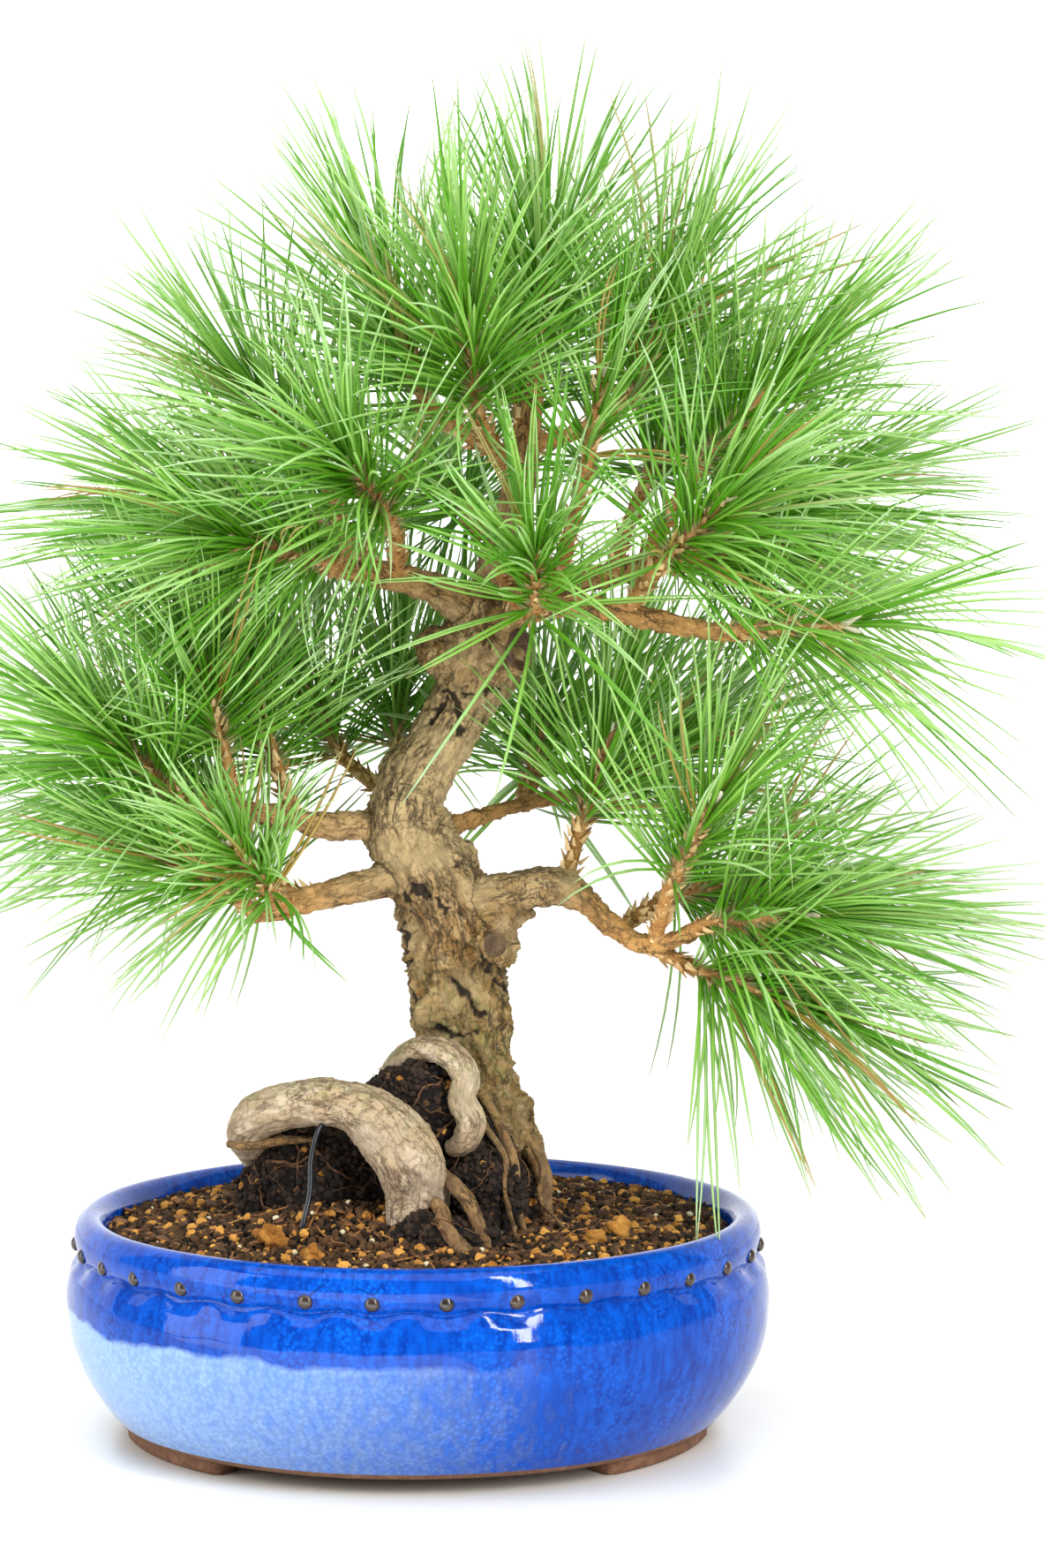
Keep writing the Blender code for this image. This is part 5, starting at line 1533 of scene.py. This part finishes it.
@dataclass(frozen=True)
class RootMass:
    """The old root ball that stands up out of the mix: peat bound by fine roots. Sizes in mm."""

    voxel: float = 1.1
    swells: float = 2.4  # broad unevenness
    lumps: float = 1.82  # crumbly unevenness
    sunk: float = 0.9
    roots: int = 150
    root_radii: tuple[float, ...] = (0.22, 0.28, 0.35, 0.5, 0.8)
    root_step: float = 2.2

    def lump(self) -> bpy.types.Mesh:
        """The lobes fused, and made rough and crumbly."""
        lobes = []
        for centre, axes in LOBES:
            bm = bmesh.new()
            place = Matrix.Translation(Vector(centre) * MM)
            place @= Matrix.Diagonal((*(axis * MM for axis in axes), 1))
            bmesh.ops.create_icosphere(bm, subdivisions=4, radius=1, matrix=place)
            lobes.append(mesh_of(bm, "lobe"))
        mesh = fused(lobes, "root_mass", self.voxel, 4)
        rows, ways = read_rows(mesh), read_rows(mesh, "normal")
        for k, (row, way) in enumerate(zip(rows, ways)):
            place = Vector(row) / MM
            broad, crumbly = noise.noise(place / 13), noise.fractal(place / 4.5, 0.9, 2.1, 4)
            rows[k] = row + way * MM * (broad * self.swells + crumbly * self.lumps - self.sunk)
        set_points(mesh, rows)
        return dressed(mesh, PEAT)

    def rootlets(self, mesh: bpy.types.Mesh) -> bpy.types.Mesh:
        """Fine roots that creep over the mass, some lifting off it, as chains for strands."""
        rows, ways = read_rows(mesh), read_rows(mesh, "normal")
        rng = random.Random(8)
        high = [k for k in range(len(rows)) if rows[k][2] > 70 * MM and rows[k][1] < 25 * MM]
        lines = []
        for number in range(self.roots):
            spot = rng.choice(high)
            place, up = Vector(rows[spot]), Vector(ways[spot])
            heading = up.cross(Vector((rng.uniform(-1, 1), rng.uniform(-1, 1), rng.uniform(-0.4, 0.4))))
            heading = (heading.normalized() + Vector((0, 0, -0.5))).normalized()
            radius = rng.choice(self.root_radii)
            steps = rng.randint(8, 20)
            line = []
            for k in range(steps):
                line.append((*(place + up * (0.5 + radius) * MM), radius * MM * (1 - 0.6 * k / steps)))
                jitter = Vector((rng.gauss(0, 1), rng.gauss(0, 1), rng.gauss(0, 1))) * 0.32
                heading = (heading + jitter).normalized()
                place = place + heading * self.root_step * MM
                near = int(np.argmin(((rows - np.array(place)) ** 2).sum(axis=1)))
                up = Vector(ways[near])
                place = place.lerp(Vector(rows[near]), 0.55)
            if number % 2 == 0 or radius < 0.4:
                lines.append(np.array(line))
        return chains(lines, "rootlet_lines")

    def place(self, scatter: ScatterRecipe, strands: StrandRecipe) -> None:
        """Put the mass, its crumbs and its fine roots in the scene."""
        mass = self.lump()
        crumbs = grain_shapes("mass_crumb", 5, 0.8, 0.5, (6, 4))
        low = -0.4  # the sides carry crumbs too
        for layer in (
            Layer("root_mass_peat", crumbs, DARK_CRUMB, "peat", 2.0, 5.0e5, (0.7, 2.0), 31, 0.1, 1.0, low),
            Layer("root_mass_crumbs", crumbs, CRUMB, "peat", 3.4, 6.0e4, (0.6, 1.5), 33, 0.1, 1.0, low),
            Layer("root_mass_grains", crumbs, FIRED_CLAY, "peat", 9.0, 6.0e3, (0.8, 2.2), 37, 0.1, 1.0, low),
        ):
            show(layer.name, layer.scattered(scatter, mass), [])
        fine = strands.run(self.rootlets(mass), Sides=5, Material=ROOTLET.material())
        show("fine_roots", fine, [])
        show("root_mass", mass, ["root_ball"])


# ------------------------------------------------------------------ the wood


def frames_of(rows: Rows) -> list[tuple[np.ndarray, np.ndarray, np.ndarray]]:
    """A side, an up and a forward direction at each row of a line, turning as little as may be."""
    found = []
    up = None
    for n in range(len(rows)):
        way = rows[min(n + 1, len(rows) - 1), :3] - rows[max(n - 1, 0), :3]
        way = way / np.linalg.norm(way)
        if up is None:
            up = np.array((0.0, 0.0, 1.0)) if abs(way[2]) < 0.8 else np.array((0.0, 1.0, 0.0))
        up = up - way * (up @ way)
        up = up / np.linalg.norm(up)
        found.append((np.cross(up, way), up, way))
    return found


def tapered_tube(rows: Rows, name: str, sides: int = 20) -> bpy.types.Mesh:
    """A closed round tube along rows of x, y, z and radius in metres, with a domed end."""
    axes = frames_of(rows)
    rings = [(row[:3], row[3], side, up) for row, (side, up, _) in zip(rows, axes)]
    end, radius, (side, up, way) = rows[-1, :3], rows[-1, 3], axes[-1]
    for rise in (math.radians(30), math.radians(60), math.radians(85)):
        rings.append((end + way * radius * 0.6 * math.sin(rise), radius * math.cos(rise), side, up))
    points = [
        [middle + wide * (side * math.cos(turn) + up * math.sin(turn)) for turn in turns(sides)]
        for middle, wide, side, up in rings
    ]
    return ring_mesh(np.array(points), name, closed=False)


@dataclass
class Wood:
    """Old wood grown in one: routes fused, then given plates, furrows and flakes. Sizes in mm."""

    name: str
    routes: dict[str, Route]
    stubs: Sequence[tuple[Point, Point, float]] = ()
    knobs: Sequence[tuple[Point, float]] = ()
    gashes: Sequence[tuple[list[Point], float]] = ()
    voxel: float = 0.88
    plate: tuple[float, float] = (8.0, 13.0)  # across and along
    full_plate_radius: float = 14.0  # thinner wood has smaller plates
    flake: float = 2.6
    depth: tuple[float, float, float] = (0.075, 0.22, 1.35)  # share of radius, least, most
    gash_depth: float = 2.0
    young_below: float = 6.5  # radius under which the bark is young
    young_relief: float = 0.3
    torn: float = -0.22  # above 0, more than half of the bark is furrowed
    swell: float = 0.13  # of the radius
    damp_at: tuple[float, float] = (138.0, 26.0)  # height where moss grows, and how far from there
    seed: float = 0.0
    lines: list[Rows] = field(default_factory=list)

    def solid(self) -> bpy.types.Mesh:
        """The routes, stubs and knobs as one smooth solid."""
        self.lines = [smooth_route(route, 6) for route in self.routes.values()]
        solids = [tapered_tube(rows, name) for name, rows in zip(self.routes, self.lines)]
        for start, end, radius in self.stubs:
            bm = bmesh.new()
            way = (Vector(end) - Vector(start)) * MM
            middle = Matrix.Translation((Vector(start) + Vector(end)) / 2 * MM)
            bmesh.ops.create_cone(
                bm, cap_ends=True, segments=32,
                radius1=radius * 1.1 * MM, radius2=radius * MM, depth=way.length,
                matrix=middle @ way.to_track_quat("Z", "Y").to_matrix().to_4x4(),
            )
            solids.append(mesh_of(bm, "stub"))
        for centre, radius in self.knobs:
            bm = bmesh.new()
            middle = Matrix.Translation(Vector(centre) * MM)
            bmesh.ops.create_icosphere(bm, subdivisions=3, radius=radius * MM, matrix=middle)
            solids.append(mesh_of(bm, "knob"))
        return fused(solids, self.name, self.voxel, 6)

    def straightened(self, rows: Rows) -> tuple[Rows, np.ndarray]:
        """Where each point is on its limb, as if the limb were straight.

        Args:
            rows: Points in metres.

        Returns:
            Across, across and along in mm for each point, and the limb's radius there in mm.
        """
        axes, lengths = [], []
        for number, line in enumerate(self.lines):
            steps = np.linalg.norm(np.diff(line[:, :3], axis=0), axis=1)
            lengths.append(np.concatenate([[0.0], np.cumsum(steps)]) + number * 0.4)
            axes += frames_of(line)
        spots, axes, lengths = np.concatenate(self.lines), np.array(axes), np.concatenate(lengths)
        local, size = np.empty((len(rows), 3)), np.empty(len(rows))
        at_once = 4000
        for first in range(0, len(rows), at_once):
            part = rows[first : first + at_once]
            apart = np.linalg.norm(part[:, None] - spots[None, :, :3], axis=2) - spots[None, :, 3] * 0.9
            best = apart.argmin(axis=1)
            here = np.einsum("ij,ikj->ik", part - spots[best, :3], axes[best])
            here[:, 2] += lengths[best]
            local[first : first + at_once], size[first : first + at_once] = here, spots[best, 3]
        return local / MM, size / MM

    def gashed(self, rows: Rows) -> np.ndarray:
        """How far each point, in mm, is inside a gash: 0 outside, 1 in its middle.

        A gash lies on the front or the back of the wood, so its line is nearest across Y.
        """
        deepest = np.zeros(len(rows))
        for line, width in self.gashes:
            line = np.array(line, float)
            reach = np.ptp(line, axis=0).max() / 2 + 12
            near = np.flatnonzero(np.linalg.norm(rows - line.mean(axis=0), axis=1) < reach)
            places = [Vector(row) for row in rows[near]]
            jag = [noise.noise_vector(at / 2.6) * 1.9 + noise.noise_vector(at) * 0.7 for at in places]
            wide = np.array([0.75 + 1.1 * noise.noise(at / 3.4) for at in places]) * width
            for start, end in zip(line, line[1:]):
                way = end - start
                off = rows[near] + np.array(jag).reshape(-1, 3) - start
                off -= np.clip((off @ way) / (way @ way), 0, 1)[:, None] * way
                off[:, 1] *= 0.05
                here = np.exp(-((np.linalg.norm(off, axis=1) / np.maximum(wide, 0.15)) ** 2))
                deepest[near] = np.maximum(deepest[near], here)
        return deepest

    def bark_at(self, place: Vector, here: Vector, size: float) -> tuple[float, float]:
        """The bark at one point.

        Args:
            place: The point on its limb, straightened.
            here: The point itself.
            size: The limb's radius there.

        Returns:
            How far up on a plate it is, from 0 in a furrow to 1, and its rise as a share of the bark's depth.
        """
        place = place + noise.noise_vector(here / 7) * 2.4 + noise.noise_vector(here / 1.9) * 0.7
        scale = 0.5 + 0.5 * min(size / self.full_plate_radius, 1.3)
        across, along = self.plate[0] * scale, self.plate[1] * scale
        at = Vector((place.x / across, place.y / across, place.z / along + self.seed))
        gaps, cells = noise.voronoi(at, distance_metric="DISTANCE")
        torn = noise.noise(here / 15 + Vector((0, 0, self.seed))) * 1.7 + self.torn
        wander = abs(noise.fractal(at * 1.15, 0.85, 2.1, 4))
        crack = min(1.0, min(wander / 0.13, (gaps[1] - gaps[0]) / 0.12))
        crack = 1 - (1 - crack * crack * (3 - 2 * crack)) * min(1.0, max(0.0, torn))
        small = Vector((place.x, place.y, place.z / 1.6)) / self.flake
        edges, spots = noise.voronoi(small, distance_metric="DISTANCE")
        chip = noise.cell(spots[0] * 5.17) * min(1.0, (edges[1] - edges[0]) / 0.12)
        rough = noise.fractal(here / 2.6, 0.8, 2.1, 3)
        level = noise.cell(cells[0] * 7.31)
        lift = (crack - 0.8) * 1.3 + (level - 0.5) * 0.9 + (chip - 0.4) * 0.7 + rough * 0.6
        return min(1.0, max(0.0, crack * (0.7 + 0.3 * chip) + 0.12 * rough)), lift

    def mesh(self, finish: PineBark) -> bpy.types.Mesh:
        """The wood with its bark in relief, and the attributes that its finish reads."""
        made = self.solid()
        rows, ways = read_rows(made), read_rows(made, "normal")
        local, size = self.straightened(rows)
        share, least, most = self.depth
        young = 1 - smoothstep(self.young_below * 0.55, self.young_below, size)
        depth = np.clip(size * share, least, most) + self.young_relief * young
        gash = self.gashed(rows / MM)
        points = zip(local, rows, size)
        bark = np.array([self.bark_at(Vector(at), Vector(row) / MM, radius) for at, row, radius in points])
        plates = bark[:, 0] * (1 - 0.96 * np.minimum(1.0, 1.6 * gash))
        swell = np.array([noise.noise(Vector(row) / MM / 17) for row in rows]) * self.swell * size
        rows += ways * ((bark[:, 1] * depth + swell - self.gash_depth * gash) * MM)[:, None]
        set_points(made, rows)
        height, reach = self.damp_at
        damp = np.exp(-(((rows[:, 2] / MM - height) / reach) ** 2)) * 0.85
        for name, values in (("grain", local * MM), ("plate", plates), ("youth", young), ("damp", damp)):
            write_attribute(made, name, values)
        return dressed(made, finish)

    def place(self, finish: PineBark, slot: str) -> None:
        """Put the wood in the scene, in place of every node that it is made from."""
        nodes = [name for name in self.routes if name in bpy.data.objects]
        show(self.name, self.mesh(finish), nodes)


@dataclass(frozen=True)
class CutFace:
    """The face of a cut limb, with its rings, in a rim of healing bark. Sizes in mm."""

    name: str
    middle: Point
    facing: Point
    half: tuple[float, float]  # across and up
    hollow: float  # how far the middle lies in
    back: float = -4.0  # how far in its hidden back is
    ring_relief: float = 0.22
    rings: int = 26
    segments: int = 56

    def mesh(self) -> bpy.types.Mesh:
        """A shallow dish with a back, its rings and its edge uneven."""
        middle, axis = Vector(self.middle), Vector(self.facing).normalized()
        side = Vector((0, 0, 1)).cross(axis).normalized()
        up = axis.cross(side)
        rows = np.empty((self.rings + 1, self.segments, 3))
        for ring in range(self.rings + 1):
            share = 1.0 if ring == 0 else 1 - (ring - 1) / self.rings
            for step, turn in enumerate(turns(self.segments)):
                way = Vector((math.cos(turn), math.sin(turn), 0))
                edge = 1 + 0.1 * noise.noise(way * 1.3 + middle) + 0.04 * noise.noise(way * 4)
                rise = -self.hollow * (1 - share**2) + self.ring_relief * math.sin(share * 30 + edge * 9)
                rise += 0.35 * noise.noise(Vector((share * 4 * way.x, share * 4 * way.y, middle.x)))
                reach = side * (self.half[0] * way.x) + up * (self.half[1] * way.y)
                rows[ring, step] = middle + reach * (share * edge) + axis * (rise if ring else self.back)
        return ring_mesh(rows * MM, self.name, closed=False)

    def place(self, finish: Finish) -> None:
        """Put the face in the scene."""
        made = dressed(self.mesh(), finish)
        write_attribute(made, "tone", np.full(len(made.vertices), 0.4))
        show(self.name, made, [])


# ------------------------------------------------------------------ the needles


@dataclass(frozen=True)
class Foliage:
    """The needled shoots. Sizes in mm."""

    needle_length: float = 91.0
    needle_radius: float = 0.72
    tuft_length: float = 34.0
    twig_radius: float = 2.4
    scale_spacing: float = 0.7
    stray: float = 30.0
    droop: tuple[float, float] = (5.0, 7.0)  # of any shoot, and more as it lies flatter
    pairs: int = 84
    spread: tuple[float, float] = (math.radians(68), math.radians(10))

    def limb_point(self, limb: str, share: float) -> Vector:
        """The place on a limb's route at a share of its points."""
        route = LIMBS[limb]
        at = share * (len(route) - 1)
        index = min(int(at), len(route) - 2)
        return Vector(route[index][:3]).lerp(Vector(route[index + 1][:3]), at - index)

    def lines(self, name: str) -> tuple[Rows, Rows]:
        """A shoot's whole stem, and its needled stretch, as rows of x, y, z and radius in metres."""
        limb, share, foot, direction, _ = SHOOTS[name]
        foot, axis = Vector(foot), Vector(direction).normalized()
        start = self.limb_point(limb, share)
        middle = start.lerp(foot, 0.5) - axis * (foot - start).length * 0.12
        tip = foot + axis * self.tuft_length
        spots = ((start, 1.25), (middle, 1.1), (foot, 1.0), (foot.lerp(tip, 0.5), 0.9), (tip, 0.7))
        stem = smooth_route([(*spot, self.twig_radius * thick) for spot, thick in spots], 6)
        return stem, stem[len(stem) // 2 :]

    def place(self, shoots: ShootRecipe) -> None:
        """Put every shoot in the scene."""
        rng = random.Random(5)
        for index, (name, (_, _, _, direction, share)) in enumerate(SHOOTS.items()):
            mesh = shoots.run(
                chains(self.lines(name), f"{name}_lines", [0.0, 1.0]),
                Pairs=int(self.pairs * SPARSE.get(name, 1.0) * rng.uniform(0.88, 1.1)),
                Needle_length=self.needle_length * share * MM,
                Needle_radius=self.needle_radius * MM,
                Spread_at_foot=self.spread[0],
                Spread_at_tip=self.spread[1],
                Curl=rng.uniform(-0.06, 0.03),
                Droop=(self.droop[0] + self.droop[1] * (1 - direction[2])) * MM,
                Stray=self.stray * MM,
                Stem_radius=self.twig_radius * MM,
                Scale_spacing=self.scale_spacing * MM,
                Seed=100 + index,
                Needle=NEEDLE.material(),
                Twig=SHOOT_BARK.material(),
                Bud=BUD.material(),
            )
            show(f"{name}_needles", mesh, [name])


# ------------------------------------------------------------------ the studio


@dataclass(frozen=True)
class Studio:
    """A white sweep under soft light, and a camera at eye level with the tree. Sizes in metres."""

    floor_side: float = 14.0
    backdrop_y: float = 3.0
    backdrop_foot: float = -0.5
    world_strength: float = 0.34
    camera_place: Point = (0.018, -1.504, 0.3425)
    camera_tilt: float = math.radians(90) - 0.0756
    lens_mm: float = 97.9

    def panel(self, name: str, corners: Sequence[Point], finish: str, **values: object) -> bpy.types.Object:
        """A flat panel in a plain finish; each value is a shader input, with _ for its spaces."""
        mesh = drawn(name, corners, [], [(0, 1, 2, 3)])
        made = bpy.data.materials.new(finish)
        made.use_nodes = True
        for label, value in values.items():
            made.node_tree.nodes["Principled BSDF"].inputs[label.replace("_", " ")].default_value = value
        mesh.materials.append(made)
        return carrier(name, mesh)

    def light(self, name: str, place: Point, aim: Point, size: tuple[float, float], power: float) -> None:
        """An area light that looks at a point."""
        data = bpy.data.lights.new(name, "AREA")
        data.shape = "RECTANGLE"
        data.size, data.size_y = size
        data.energy = power
        lamp = carrier(name, data)
        lamp.location = place
        lamp.rotation_euler = (Vector(aim) - Vector(place)).to_track_quat("-Z", "Y").to_euler()

    def build(self) -> None:
        """The world, the floor, the lights and the camera."""
        scene = bpy.context.scene
        scene.view_settings.view_transform = "Standard"
        world = bpy.data.worlds.new("studio")
        world.use_nodes = True
        back = world.node_tree.nodes["Background"].inputs
        back["Color"].default_value = linear("#FFFFFF")
        back["Strength"].default_value = self.world_strength
        scene.world = world
        half, far, foot = self.floor_side / 2, self.backdrop_y, self.backdrop_foot
        corners = [(-half, -half, 0), (half, -half, 0), (half, half, 0), (-half, half, 0)]
        # White card, matt coated: it takes soft shadows and a faint sheen
        floor = self.panel(
            "studio_floor", corners, "studio_paper", Base_Color=linear("#F7F6EF"), Roughness=0.35
        )
        corners = [(-half, far, foot), (half, far, foot), (half, far, half), (-half, far, half)]
        # White cloth lit from behind: plain white
        backdrop = self.panel(
            "studio_backdrop", corners, "lit_backdrop",
            Emission_Color=linear("#FFFFFF"), Emission_Strength=1.0,
        )
        self.light("overhead", (-0.2, -0.5, 1.9), (0, 0, 0.1), (2.2, 1.6), 24)
        self.light("window", (-1.45, -0.55, 0.6), (0, 0, 0.15), (0.8, 1.2), 14)
        self.light("strip", (0.7, -1.04, 0.8), (0.02, 0, 0.06), (0.11, 1.3), 19)
        self.light("front_floor_card", (-0.62, -0.59, 0.004), (-0.62, -0.59, 1.0), (1.36, 0.74), 8)
        data = bpy.data.cameras.new("camera")
        data.lens = self.lens_mm
        data.sensor_width = 36
        scene.camera = carrier("camera", data)
        scene.camera.location = self.camera_place
        scene.camera.rotation_euler = (self.camera_tilt, 0, 0)


def main() -> None:
    """Build the tree from the pot up, then the studio round it."""
    logging.basicConfig(level=logging.INFO, format="%(message)s")
    noise.seed_set(NOISE_SEED)
    strands, scatter = StrandRecipe(), ScatterRecipe()
    GlazedPot().place(StudRecipe())
    DrainNets().place(strands)
    SoilBed().place(scatter, strands)
    RootMass().place(scatter, strands)
    tree = {"trunk": TRUNK, **LIMBS}
    Wood("trunk_and_limbs", tree, stubs=(STUB, SCAR), knobs=KNOBS, gashes=GASHES).place(BARK, "bark")
    Wood(
        "exposed_roots", ROOTS, voxel=0.65, plate=(9.0, 22.0), depth=(0.045, 0.16, 0.55), young_below=0.1,
        torn=-0.45, seed=5.0,
    ).place(ROOT_BARK, "root")
    Wood(
        "prop_roots", PROP_ROOTS, voxel=0.6, plate=(6.0, 22.0), depth=(0.08, 0.16, 0.5), young_below=0.1,
        torn=-0.2, seed=9.0,
    ).place(PROP_BARK, "root")
    CutFace("sawn_limb_face", (27.7, -22.4, 174.4), (0.42, -0.9, -0.02), (4.2, 4.2), 0.3).place(SAWN)
    CutFace("healed_cut_face", (36.6, -11.5, 276.8), (0.72, -0.69, 0.05), (5.0, 7.4), 2.6).place(HEALED)
    Foliage().place(ShootRecipe())
    Studio().build()


if __name__ == "__main__":
    main()
